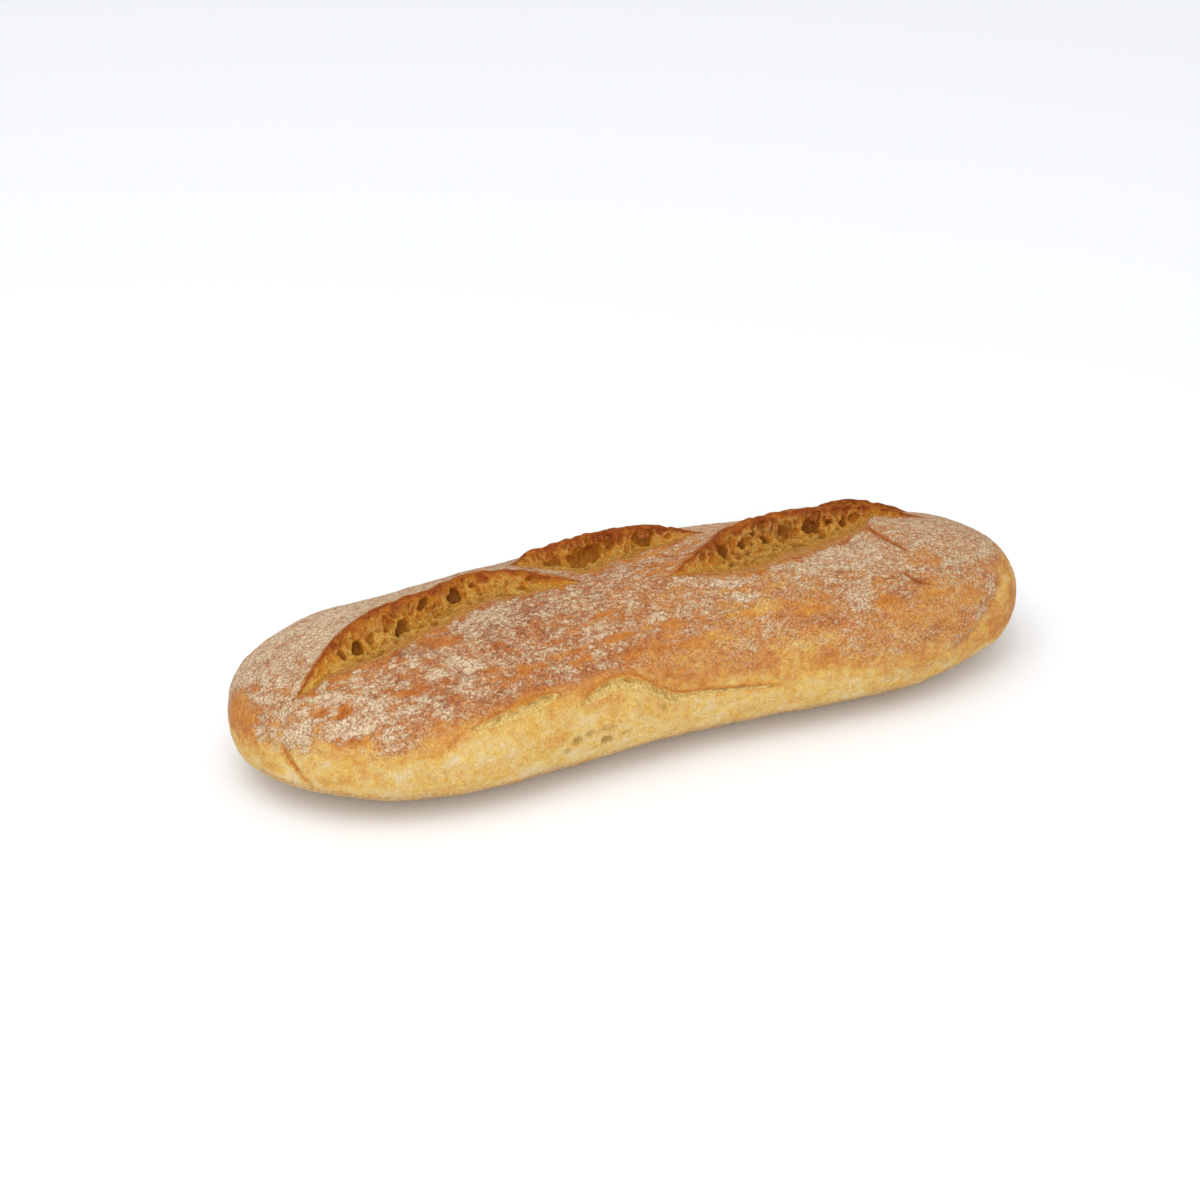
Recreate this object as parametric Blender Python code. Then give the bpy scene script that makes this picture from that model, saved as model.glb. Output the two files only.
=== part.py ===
"""Filone: a long Italian loaf with four overlapping slanted slashes, as one solid.

The loaf lies along X with its flat base on Z = 0. Its form is a rounded superellipse body. Each slash
opens as a shallow groove that rises to a lifted ear, the ridge on its far side.
Metres, +Z up, origin at the middle of the base.
"""

import math

import bmesh
import bpy
import numpy as np

MM = 0.001

# ---- the body ------------------------------------------------------------------------------------
LENGTH = 380 * MM
WIDTH = 120 * MM
HEIGHT = 71 * MM            # crest of the plain body at its middle, without the ears
BELLY = 28.6 * MM           # height of the widest line above the base
END_FULLNESS = (4.26, 3.74)     # how square the plan outline is, left end and right end
END_ROUNDNESS = (1.92, 2.26)
UPPER_ROUND = 2.15          # superellipse exponent of the cross-section above the belly
LOWER_ROUND = 2.80          # and below it, where the side turns under
UNDERCUT = 1.06             # the underside would reach this much of BELLY, so the base is cut flat
TAPER = -0.059              # the right end is this much narrower
END_SWELL = 0.087           # both ends swell, like a dog bone
WAIST = -0.014
CREST_TAPER = -0.051
CREST_END = -0.032
CREST_WAVE = 0.054
BEND = (-1.6 * MM, 6.3 * MM, 2.5 * MM)      # sideways bow, its skew and its wave

# ---- the slashes -------------------------------------------------------------------------------
# Plan places in millimetres. The near edge is (x, y); the ridge is (x, y, how far the ear is lifted).
SLASHES = {
    "first": {
        "near": ((-169, -27), (-150, -28.5), (-125, -27), (-98, -18), (-72, -8), (-50, -10), (-29, -9)),
        "ridge": ((-169, -27, 0), (-148, -14, 4), (-122, 2, 5.5), (-97, 9, 5), (-70, 17, 3.8),
                  (-52, 7, 2.8), (-41, -4, 1.8), (-29, -9, 0)),
    },
    "second": {
        "near": ((-54, 24), (-41, 6.5), (-27, -5), (-8, 0), (15, 7), (41, 19)),
        "ridge": ((-54, 24, 0), (-46, 22.5, 4.5), (-32, 23, 6.2), (-10, 23, 7), (9, 21.5, 6.5),
                  (25, 20, 4), (41, 19, 0)),
    },
    "third": {
        "near": ((7.5, -17.3), (33, -20.6), (49, -22.5), (66, -16), (89, -11), (105, -5), (115, 3),
                 (124, 14), (138, 15), (152, 10)),
        "ridge": ((7.5, -17.3, 0), (27, -8, 4.5), (46, 7, 6), (60, 14, 6.5), (77, 19.5, 6.5),
                  (97, 21, 6.5), (113, 21, 6), (134, 22, 3), (152, 10, 0)),
    },
    "fourth": {
        "near": ((100, 36), (110, 30), (122, 28), (136, 27), (154, 24)),
        "ridge": ((100, 36, 0), (110, 37, 5), (122, 35.5, 6.2), (136, 32, 4), (154, 24, 0)),
    },
}
NEAR_ROW = ("first", "third")       # these two lie on one slanted row, the other two behind it
FAR_ROW = ("second", "fourth")
GROOVE_DEPTH = 3.3 * MM             # depth of the groove of a slash as wide as FULL_OPENING
FULL_OPENING = 25 * MM
GROOVE_FLOOR = 0.50                 # where the floor lies, as a share of the way to the ridge
EAR_BACK = 15 * MM                  # how far behind the ridge the ear runs out into the crust
LEAST_GAP = math.radians(2.4)       # the two edges of a slash never meet, even beyond its tips

# ---- the small splits and folds -------------------------------------------------------------------
# Each is a path of (x, y, z) in millimetres on the skin, its depth and its half-width.
CREASES = {
    "side_split_left": (((-98, -62, 43), (-83, -61, 46), (-70, -58, 50), (-57, -58, 50)), 1.2, 3.5),
    "side_split_right": (((-54, -60, 42), (-42, -58, 49), (-24, -58, 46), (-8, -60, 36), (12, -59, 37),
                          (42, -58, 30)), 1.2, 3.5),
    "left_fold": (((-181, -16, 45), (-183, -22, 36), (-178, -33, 25), (-164, -46, 12)), 2.4, 5),
    "right_fold": (((174, -26, 44), (162, -41, 37), (150, -49, 31), (135, -54, 26)), 1.8, 5),
    "top_crack": (((117, 9, 68), (120, 0, 70), (127, -19, 66)), 1.8, 2.5),
}

# ---- the mesh ------------------------------------------------------------------------------------
# Lines along the loaf: angles round the section (0 far side, 90 top, 180 near side) and how many
# strips lie between each and the next. The named ones follow the edges of the slashes.
AROUND = ((-90, 5), (-20, 5), (25, 6), ("far_ridge", 6), ("far_near", 6), ("near_ridge", 6),
          ("near_near", 9), (150, 7), (185, 5), (215, 5), (270, 0))
STATIONS = 80

CRUST_COLOR = (0.60, 0.29, 0.11, 1.0)
CRUST_ROUGHNESS = 0.75


def smooth_curve(points, x, column=1):
    """Value at x of a smooth curve through points (x, ...), flat beyond both ends."""
    xs = np.array([point[0] for point in points], float)
    ys = np.array([point[column] for point in points], float)
    slope = np.gradient(ys, xs)
    slope[0] = (ys[1] - ys[0]) / (xs[1] - xs[0])
    slope[-1] = (ys[-1] - ys[-2]) / (xs[-1] - xs[-2])
    x = np.clip(x, xs[0], xs[-1])
    cell = np.clip(np.searchsorted(xs, x) - 1, 0, len(xs) - 2)
    width = xs[cell + 1] - xs[cell]
    t = (x - xs[cell]) / width
    rise = t * t * (3 - 2 * t)
    return (ys[cell] * (1 - rise) + ys[cell + 1] * rise
            + width * t * (1 - t) * ((1 - t) * slope[cell] - t * slope[cell + 1]))


def smooth_step(t):
    """0 below 0, 1 above 1, and a smooth rise between."""
    t = np.clip(t, 0, 1)
    return t * t * (3 - 2 * t)


def shrink(u):
    """How much of its full section the loaf has at u, from -1 at the left end to 1 at the right."""
    left = u < 0
    fullness = np.where(left, *END_FULLNESS)
    roundness = np.where(left, *END_ROUNDNESS)
    return np.clip(1 - np.abs(u) ** fullness, 0, 1) ** (1 / roundness)


def half_width(u):
    """Half the width of the loaf at u."""
    wave = 1 + TAPER * u + END_SWELL * u * u + WAIST * np.cos(2 * np.pi * u)
    return WIDTH / 2 * shrink(u) * wave


def middle_line(u):
    """Sideways place of the middle of the section at u."""
    bow, skew, wave = BEND
    return bow * (1 - u * u) + skew * u * (1 - u * u) + wave * np.cos(1.5 * np.pi * u)


def body_point(u, angle):
    """Point of the plain body: a superellipse section, cut flat at the base."""
    s = shrink(u)
    crest = 1 + CREST_TAPER * u + CREST_END * u * u + CREST_WAVE * np.cos(2 * np.pi * u)
    above = np.sin(angle) > 0
    rise = np.where(above, (HEIGHT - BELLY) * s * crest, BELLY * UNDERCUT * s ** 0.6)
    power = 2 / np.where(above, UPPER_ROUND, LOWER_ROUND)
    y = half_width(u) * np.sign(np.cos(angle)) * np.abs(np.cos(angle)) ** power + middle_line(u)
    z = BELLY + rise * np.sign(np.sin(angle)) * np.abs(np.sin(angle)) ** power
    return np.stack([u * LENGTH / 2, y, np.maximum(z, 0)], axis=-1)


def angle_over(x, y):
    """Angle round the section, on its upper half, of the skin above the plan place (x, y)."""
    u = x / (LENGTH / 2)
    across = np.clip((y - middle_line(u)) / np.maximum(half_width(u), 1 * MM), -0.98, 0.98)
    return np.arccos(np.sign(across) * np.abs(across) ** (UPPER_ROUND / 2))


def row_edge(names, edge):
    """Points (x, angle) of one edge of a row of slashes, along the whole loaf."""
    points = []
    for name in names:
        for place in SLASHES[name][edge]:
            x, y = place[0] * MM, place[1] * MM
            points.append((x, float(angle_over(x, y))))
    return points


def row_angles(names, u):
    """Angles of the ridge and of the near edge of a row of slashes at u, never closer than a gap."""
    x = u * LENGTH / 2
    ridge = smooth_curve(row_edge(names, "ridge"), x)
    near = smooth_curve(row_edge(names, "near"), x)
    middle = (ridge + near) / 2
    half = np.maximum(near - ridge, LEAST_GAP) / 2
    return middle - half, middle + half


def section_angles(u):
    """Angle of every line round the section at u, from the base round the far side and back."""
    far_ridge, far_near = row_angles(FAR_ROW, u)
    near_ridge, near_near = row_angles(NEAR_ROW, u)
    named = {"far_ridge": far_ridge, "far_near": far_near,
             "near_ridge": near_ridge, "near_near": near_near}
    lines = []
    for (start, strips), (end, _) in zip(AROUND, AROUND[1:]):
        low = named[start] if start in named else np.full_like(u, math.radians(start))
        high = named[end] if end in named else np.full_like(u, math.radians(end))
        share = np.arange(strips) / strips
        if start in ("far_ridge", "near_ridge"):
            share = share - 0.7 * np.sin(2 * np.pi * share) / (2 * np.pi)
        lines.append(low[:, None] + (high - low)[:, None] * share)
    return np.concatenate(lines, axis=1)


def slash_rise(name, x, angle):
    """How far one slash lifts (ear) or sinks (groove) the skin, straight up, at x and angle."""
    slash = SLASHES[name]
    row = NEAR_ROW if name in NEAR_ROW else FAR_ROW
    start, end = slash["near"][0][0] * MM, slash["near"][-1][0] * MM
    u = x / (LENGTH / 2)
    ridge, near = row_angles(row, u)
    share = (near - angle) / (near - ridge)
    opening = (near - ridge - LEAST_GAP) * half_width(u)
    inside = (x > start) & (x < end)
    lift = np.where(inside, smooth_curve(slash["ridge"], x / MM, 2) * MM, 0)
    depth = np.where(inside, GROOVE_DEPTH * np.clip(opening / FULL_OPENING, 0, 1.1), 0)
    fall = smooth_step(share / GROOVE_FLOOR)
    climb = smooth_step((share - GROOVE_FLOOR) / (1 - GROOVE_FLOOR))
    groove = -depth * fall + (depth + lift) * climb
    behind = np.clip(1 - (ridge - angle) * half_width(u) / EAR_BACK, 0, 1)
    return np.where(share < 0, 0, np.where(share > 1, lift * behind ** 2, groove))


def crease_depth(points, path, depth, half_width_of_crease):
    """How far a split or fold presses the skin in: a smooth groove along its path."""
    path = np.array(path) * MM
    nearest = np.full(len(points), np.inf)
    for start, end in zip(path, path[1:]):
        run = end - start
        share = np.clip((points - start) @ run / (run @ run), 0, 1)
        gap = np.linalg.norm(points - start - share[:, None] * run, axis=1)
        nearest = np.minimum(nearest, gap)
    return depth * MM * np.exp(-(nearest / (half_width_of_crease * MM)) ** 2)


def loaf_points(u, angle):
    """The finished skin at u and angle: plain body, slashes, then the small splits and folds."""
    points = body_point(u, angle)
    top = np.sin(angle) > 0
    for name in SLASHES:
        points[:, 2] += np.where(top, slash_rise(name, points[:, 0], angle), 0)
    core = points * (0.9, 0, 0)
    core[:, 2] = BELLY
    inward = core - points
    inward /= np.linalg.norm(inward, axis=1, keepdims=True)
    for path, depth, width in CREASES.values():
        points += inward * crease_depth(points, path, depth, width)[:, None]
    points[:, 2] = np.where(top, points[:, 2], np.maximum(points[:, 2], 0))
    return points


def stations(count):
    """Places u along the loaf, evenly spaced along its outline as seen from above."""
    u = np.sin(np.linspace(-np.pi / 2, np.pi / 2, 2001))
    step = np.hypot(np.diff(u) * LENGTH / 2, np.diff(half_width(u)))
    run = np.concatenate([[0], np.cumsum(step)])
    return np.interp(np.linspace(0, run[-1], count + 1), run, u)


def build_loaf(collection):
    """A UV sphere with its poles at the loaf's two ends, drawn out into the loaf."""
    around = sum(strips for _, strips in AROUND)
    mesh = bpy.data.meshes.new("loaf")
    sphere = bmesh.new()
    bmesh.ops.create_uvsphere(sphere, u_segments=around, v_segments=STATIONS, radius=1)
    unit = np.array([vertex.co for vertex in sphere.verts])
    station = np.rint((1 - np.arccos(np.clip(unit[:, 2], -1, 1)) / np.pi) * STATIONS).astype(int)
    turn = (np.arctan2(unit[:, 1], unit[:, 0]) / (2 * np.pi) + 0.25) * around
    line = np.rint(turn).astype(int) % around
    u = stations(STATIONS)
    angles = section_angles(u)
    points = loaf_points(u[station], angles[station, line])
    middle = (points.min(axis=0) + points.max(axis=0)) / 2
    points -= (middle[0], middle[1], points[:, 2].min())
    for vertex, point in zip(sphere.verts, points):
        vertex.co = point
    sphere.to_mesh(mesh)
    sphere.free()
    mesh.shade_smooth()
    loaf = bpy.data.objects.new("loaf", mesh)
    collection.objects.link(loaf)
    return loaf


def crust_material():
    """Baked crust: a plain warm brown."""
    material = bpy.data.materials.new("crust")
    material.use_nodes = True
    shader = material.node_tree.nodes["Principled BSDF"]
    shader.inputs["Base Color"].default_value = CRUST_COLOR
    shader.inputs["Roughness"].default_value = CRUST_ROUGHNESS
    shader.inputs["Metallic"].default_value = 0.0
    return material


def main():
    for leftover in list(bpy.data.objects):
        bpy.data.objects.remove(leftover)
    collection = bpy.data.collections.new("filone")
    bpy.context.scene.collection.children.link(collection)
    loaf = build_loaf(collection)
    loaf.data.materials.append(crust_material())


main()
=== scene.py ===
"""Filone: the floured crust, the torn crumb in its slashes and side splits, and a soft studio.

Shapes are worked out in millimetres, as whole numpy arrays, and turned to metres when a mesh is made.
The loaf lies along X with its base on Z = 0, and its slashes open towards -Y.
"""

from __future__ import annotations

import logging
import math
from dataclasses import dataclass, field
from enum import Enum
from functools import cache
from itertools import product

import bpy
import numpy as np
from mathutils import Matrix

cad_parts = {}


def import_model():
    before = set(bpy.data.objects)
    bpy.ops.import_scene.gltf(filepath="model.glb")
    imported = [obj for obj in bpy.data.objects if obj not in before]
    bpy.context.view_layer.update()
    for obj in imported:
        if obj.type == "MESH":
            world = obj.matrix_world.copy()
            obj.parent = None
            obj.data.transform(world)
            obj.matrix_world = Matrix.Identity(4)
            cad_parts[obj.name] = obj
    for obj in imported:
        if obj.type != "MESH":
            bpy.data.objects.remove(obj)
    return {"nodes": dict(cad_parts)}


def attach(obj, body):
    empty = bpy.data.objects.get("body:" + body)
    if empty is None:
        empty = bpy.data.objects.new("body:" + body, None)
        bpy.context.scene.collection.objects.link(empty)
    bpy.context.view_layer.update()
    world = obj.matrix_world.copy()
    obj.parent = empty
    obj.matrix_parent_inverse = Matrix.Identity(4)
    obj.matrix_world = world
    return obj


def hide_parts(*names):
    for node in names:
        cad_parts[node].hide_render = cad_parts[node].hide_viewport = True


Array = np.ndarray
Colour = tuple[float, float, float]
Number = np.ndarray | float
Port = bpy.types.NodeSocket
Value = Port | float
Paint = Port | tuple

MM = 0.001
BODY = "root"
NODE = "loaf"
BAKE_UV = "OFBake"
LAYER_RATIO = 2.03
LAYER_SHIFT = 11.3
FRACTAL_GAIN = 1.6
FAR_CELLS = 9.0
TIP_MARGIN = 0.01
BAKED_GLOSS = 0.15
UP = np.array([0, 0, 1.0])
log = logging.getLogger("filone")


# ---- small curves and repeatable noise -------------------------------------------------------------


def smooth_step(t: Array) -> Array:
    """0 below 0, 1 above 1, and a smooth rise between.

    Args:
        t: Any array.

    Returns:
        The stepped array.
    """
    t = np.clip(t, 0, 1)
    return t * t * (3 - 2 * t)


def band(value: Array, low: Number, high: Number, rise: float, fall: float) -> Array:
    """1 well inside low and high and 0 outside, with a smooth rise and fall.

    Args:
        value: What is measured.
        low: Where the rise begins.
        high: Where the fall ends.
        rise: Width of the rise.
        fall: Width of the fall.

    Returns:
        One number for each value.
    """
    return smooth_step((value - low) / rise) * smooth_step((high - value) / fall)


def smooth_curve(points: tuple, x: Array, column: int = 1) -> Array:
    """Smooth curve through points (x, ...): a cubic in each gap, flat beyond both ends.

    Args:
        points: The points, in order of x.
        x: Where the curve is read.
        column: Which number of each point is the value.

    Returns:
        The value at each x.
    """
    xs = np.array([point[0] for point in points], float)
    ys = np.array([point[column] for point in points], float)
    slope = np.gradient(ys, xs)
    slope[0] = (ys[1] - ys[0]) / (xs[1] - xs[0])
    slope[-1] = (ys[-1] - ys[-2]) / (xs[-1] - xs[-2])
    x = np.clip(x, xs[0], xs[-1])
    cell = np.clip(np.searchsorted(xs, x) - 1, 0, len(xs) - 2)
    width = xs[cell + 1] - xs[cell]
    t = (x - xs[cell]) / width
    rise = t * t * (3 - 2 * t)
    bend = (1 - t) * slope[cell] - t * slope[cell + 1]
    return ys[cell] * (1 - rise) + ys[cell + 1] * rise + width * t * (1 - t) * bend


def lattice_random(cell: Array, seed: int) -> Array:
    """Repeatable random number from 0 to 1 for each whole-numbered cell: an integer hash.

    Args:
        cell: Cells, with three numbers in the last axis.
        seed: Which of many random fields.

    Returns:
        One number for each cell.
    """
    whole = cell.astype(np.int64).view(np.uint64)
    with np.errstate(over="ignore"):
        mixed = whole[..., 0] * np.uint64(0x9E3779B97F4A7C15)
        mixed = mixed ^ (whole[..., 1] * np.uint64(0xC2B2AE3D27D4EB4F))
        mixed = mixed ^ (whole[..., 2] * np.uint64(0x165667B19E3779F9))
        mixed = mixed + np.uint64(seed * 7919 + 17) * np.uint64(0x27D4EB2F165667C5)
        mixed = (mixed ^ (mixed >> np.uint64(31))) * np.uint64(0xBF58476D1CE4E5B9)
        mixed = (mixed ^ (mixed >> np.uint64(29))) * np.uint64(0x94D049BB133111EB)
    return (mixed >> np.uint64(40)).astype(float) / float(1 << 24)


def value_noise(place: Array, seed: int) -> Array:
    """Smooth random field from 0 to 1, with bumps about one unit wide.

    The value is a blend of the random numbers at the eight corners of each place's lattice cell.

    Args:
        place: Places, with three numbers in the last axis.
        seed: Which random field.

    Returns:
        One value for each place.
    """
    low = np.floor(place)
    part = place - low
    fade = part ** 3 * (part * (part * 6 - 15) + 10)
    total = np.zeros(place.shape[:-1])
    for corner in product((0, 1), repeat=3):
        weight = np.prod(np.where(np.array(corner) == 1, fade, 1 - fade), axis=-1)
        total += weight * lattice_random(low + corner, seed)
    return total


def in_cells(place: Array, size: float | tuple) -> Array:
    """Places counted in cells of a size, one number or one for each axis."""
    return place / np.broadcast_to(np.array(size, float), (3,))


def on_axis(x: Array) -> Array:
    """Points (x, 0, 0), where noise that only runs along the loaf is read."""
    return np.stack([x, 0 * x, 0 * x], axis=-1)


def fractal(place: Array, size: float | tuple, seed: int, octaves: int = 4) -> Array:
    """Layers of value noise from -1 to 1, each half as wide and half as strong as the last.

    Args:
        place: Places in millimetres.
        size: Width of the widest bumps, one number or one for each axis.
        seed: Which random field.
        octaves: How many layers.

    Returns:
        One value for each place.
    """
    scaled = in_cells(place, size)
    total = np.zeros(place.shape[:-1])
    reach = 0.0
    for layer in range(octaves):
        strength = 0.5 ** layer
        shifted = scaled * LAYER_RATIO ** layer + LAYER_SHIFT * layer
        total += strength * (value_noise(shifted, seed + layer) * 2 - 1)
        reach += strength
    return total / reach * FRACTAL_GAIN


def crests(place: Array, size: float | tuple, seed: int, octaves: int, sharpness: float) -> Array:
    """Noise folded at its middle value: 1 along thin crests, and lower between them.

    Args:
        place: Places in millimetres.
        size: Width of the widest bumps, one number or one for each axis.
        seed: Which random field.
        octaves: How many layers.
        sharpness: How steeply it falls from a crest.

    Returns:
        One value for each place.
    """
    return 1 - np.abs(fractal(place, size, seed, octaves)) * sharpness


def bubbles(place: Array, size: float | tuple, seed: int) -> tuple[Array, Array, Array]:
    """Distances to the nearest of many scattered centres, one in each lattice cell.

    Args:
        place: Places in millimetres.
        size: Width of a cell, one number or one for each axis.
        seed: Which scatter.

    Returns:
        Distance to the nearest centre, to the second nearest, both in cells, and the nearest
        centre's own random number.
    """
    scaled = in_cells(place, size)
    low = np.floor(scaled)
    first = np.full(scaled.shape[:-1], FAR_CELLS)
    second = np.full(scaled.shape[:-1], FAR_CELLS)
    own = np.zeros(scaled.shape[:-1])
    for shift in product((-1, 0, 1), repeat=3):
        cell = low + shift
        centre = np.stack([lattice_random(cell, seed + axis) for axis in range(3)], axis=-1)
        gap = np.linalg.norm(cell + 0.15 + 0.7 * centre - scaled, axis=-1)
        nearer = gap < first
        second = np.where(nearer, first, np.minimum(second, gap))
        own = np.where(nearer, lattice_random(cell, seed + 3), own)
        first = np.where(nearer, gap, first)
    return first, second, own


# ---- meshes ----------------------------------------------------------------------------------------


def texture_map(points: Array, share: Array) -> Array:
    """Texture map of a closed tube: how far along it against the place round the ring.

    Args:
        points: Rings in millimetres, (rings, lines, 3).
        share: Place of each line round the ring, from 0 up to below 1.

    Returns:
        A pair for each face corner: first of the quads, then of the fans at the start and the end.
    """
    rings, lines, _ = points.shape
    run = np.linalg.norm(np.diff(points, axis=0), axis=-1).mean(axis=1)
    along = np.concatenate([[0], np.cumsum(run)]) / run.sum() * (1 - 2 * TIP_MARGIN) + TIP_MARGIN
    edge = np.append(share, 1.0)
    low, high = (np.broadcast_to(side, (rings - 1, lines)) for side in (edge[:-1], edge[1:]))
    here, there = along[:-1, None] + 0 * low, along[1:, None] + 0 * low
    middle = (edge[:-1] + edge[1:]) / 2
    start, end = 0 * middle + along[0], 0 * middle + along[-1]
    corners = (
        ((here, low), (here, high), (there, high), (there, low)),
        ((0 * middle, middle), (start, edge[1:]), (start, edge[:-1])),
        ((0 * middle + 1, middle), (end, edge[:-1]), (end, edge[1:])),
    )
    return np.concatenate([np.stack([np.stack(pair, -1) for pair in face], axis=-2).reshape(-1, 2)
                           for face in corners])


def closed_tube(name: str, points: Array, ends: Array, share: Array,
                masks: dict[str, Array]) -> bpy.types.Object:
    """Make a closed mesh from rings of points that run to a single point at each end.

    Args:
        name: The object's name.
        points: Rings in millimetres, (rings, lines, 3).
        ends: The first and the last point, (2, 3).
        share: Place of each line round the ring, from 0 up to below 1, for the texture map.
        masks: Named numbers for each ring point, kept as attributes.

    Returns:
        The new object, with smooth faces that point outwards.
    """
    rings, lines, _ = points.shape
    first, last = rings * lines, rings * lines + 1
    corner = np.arange(rings * lines).reshape(rings, lines)
    after = np.roll(corner, -1, axis=1)
    quads = np.stack([corner[:-1], after[:-1], after[1:], corner[1:]], axis=-1).reshape(-1, 4)
    start = np.stack([np.full(lines, first), after[0], corner[0]], axis=-1)
    finish = np.stack([np.full(lines, last), corner[-1], after[-1]], axis=-1)
    vertices = np.concatenate([points.reshape(-1, 3), ends]) * MM
    loops = np.concatenate([quads.ravel(), start.ravel(), finish.ravel()])
    sizes = np.concatenate([np.full(len(quads), 4), np.full(2 * lines, 3)])
    mesh = bpy.data.meshes.new(name)
    mesh.vertices.add(len(vertices))
    mesh.vertices.foreach_set("co", vertices.ravel())
    mesh.loops.add(len(loops))
    mesh.loops.foreach_set("vertex_index", loops)
    mesh.polygons.add(len(sizes))
    mesh.polygons.foreach_set("loop_start", np.cumsum(sizes) - sizes)
    mesh.polygons.foreach_set("loop_total", sizes)
    mesh.update(calc_edges=True)
    layout = mesh.uv_layers.new(name=BAKE_UV)
    layout.data.foreach_set("uv", texture_map(points, share).ravel())
    for mask, values in masks.items():
        attribute = mesh.attributes.new(mask, "FLOAT", "POINT")
        tips = [values[0].mean(), values[-1].mean()]
        attribute.data.foreach_set("value", np.concatenate([values.ravel(), tips]).astype(np.float32))
    mesh.validate()
    mesh.shade_smooth()
    made = bpy.data.objects.new(name, mesh)
    bpy.context.scene.collection.objects.link(made)
    return made


def place_on_loaf(piece: bpy.types.Object) -> None:
    """Let a piece ride on the loaf's body and stand for its solid.

    Args:
        piece: The piece, whose name and triangles are logged.
    """
    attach(piece, BODY)
    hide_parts(NODE)
    faces = sum(len(face.vertices) - 2 for face in piece.data.polygons)
    log.info("piece %s: %d triangles", piece.name, faces)


# ---- the form of the loaf -----------------------------------------------------------------------


class Edge(Enum):
    """The two edges of an opening in the crust."""

    NEAR = "near"
    RIDGE = "ridge"


@dataclass(frozen=True)
class Opening:
    """A place where the crust has torn open.

    Points of the near edge are (x, place) and those of the ridge (x, place, lift). The place is y
    for a slash on the top and the angle round the section for a split in the side. The valley is the
    share of the way across where the crumb lies deepest. A hole is (x, share of the way across, half
    its length, half its width, depth).
    """

    name: str
    near: tuple
    ridge: tuple
    depth: float
    valley: float
    seed: int
    holes: tuple = ()

    @property
    def start(self) -> float:
        """Where along the loaf it begins."""
        return self.near[0][0]

    @property
    def end(self) -> float:
        """Where along the loaf it ends."""
        return self.near[-1][0]

    def tip_fade(self, x: Array, reach: float = 7.0) -> Array:
        """1 along the opening, falling smoothly to 0 at its two tips.

        Args:
            x: Places along the loaf.
            reach: How far in from a tip the fall begins.

        Returns:
            One number for each place.
        """
        return band(x, self.start, self.end, reach, reach)

    def lift(self, x: Array) -> Array:
        """How far the ridge stands above the plain skin, with an uneven crest.

        Args:
            x: Places along the loaf.

        Returns:
            Millimetres, 0 at the tips.
        """
        uneven = 1 + 0.10 * fractal(on_axis(x), 14, self.seed, 3)
        fine = 0.42 * fractal(on_axis(x), 3.2, self.seed + 5, 3)
        return (smooth_curve(self.ridge, x, 2) * uneven + fine) * self.tip_fade(x, 10)


@dataclass(frozen=True)
class Row:
    """Openings that follow each other along one slanted row, with edges that never cross."""

    openings: tuple[Opening, ...]
    on_top: bool = True
    least_gap: float = math.radians(2.4)


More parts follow.
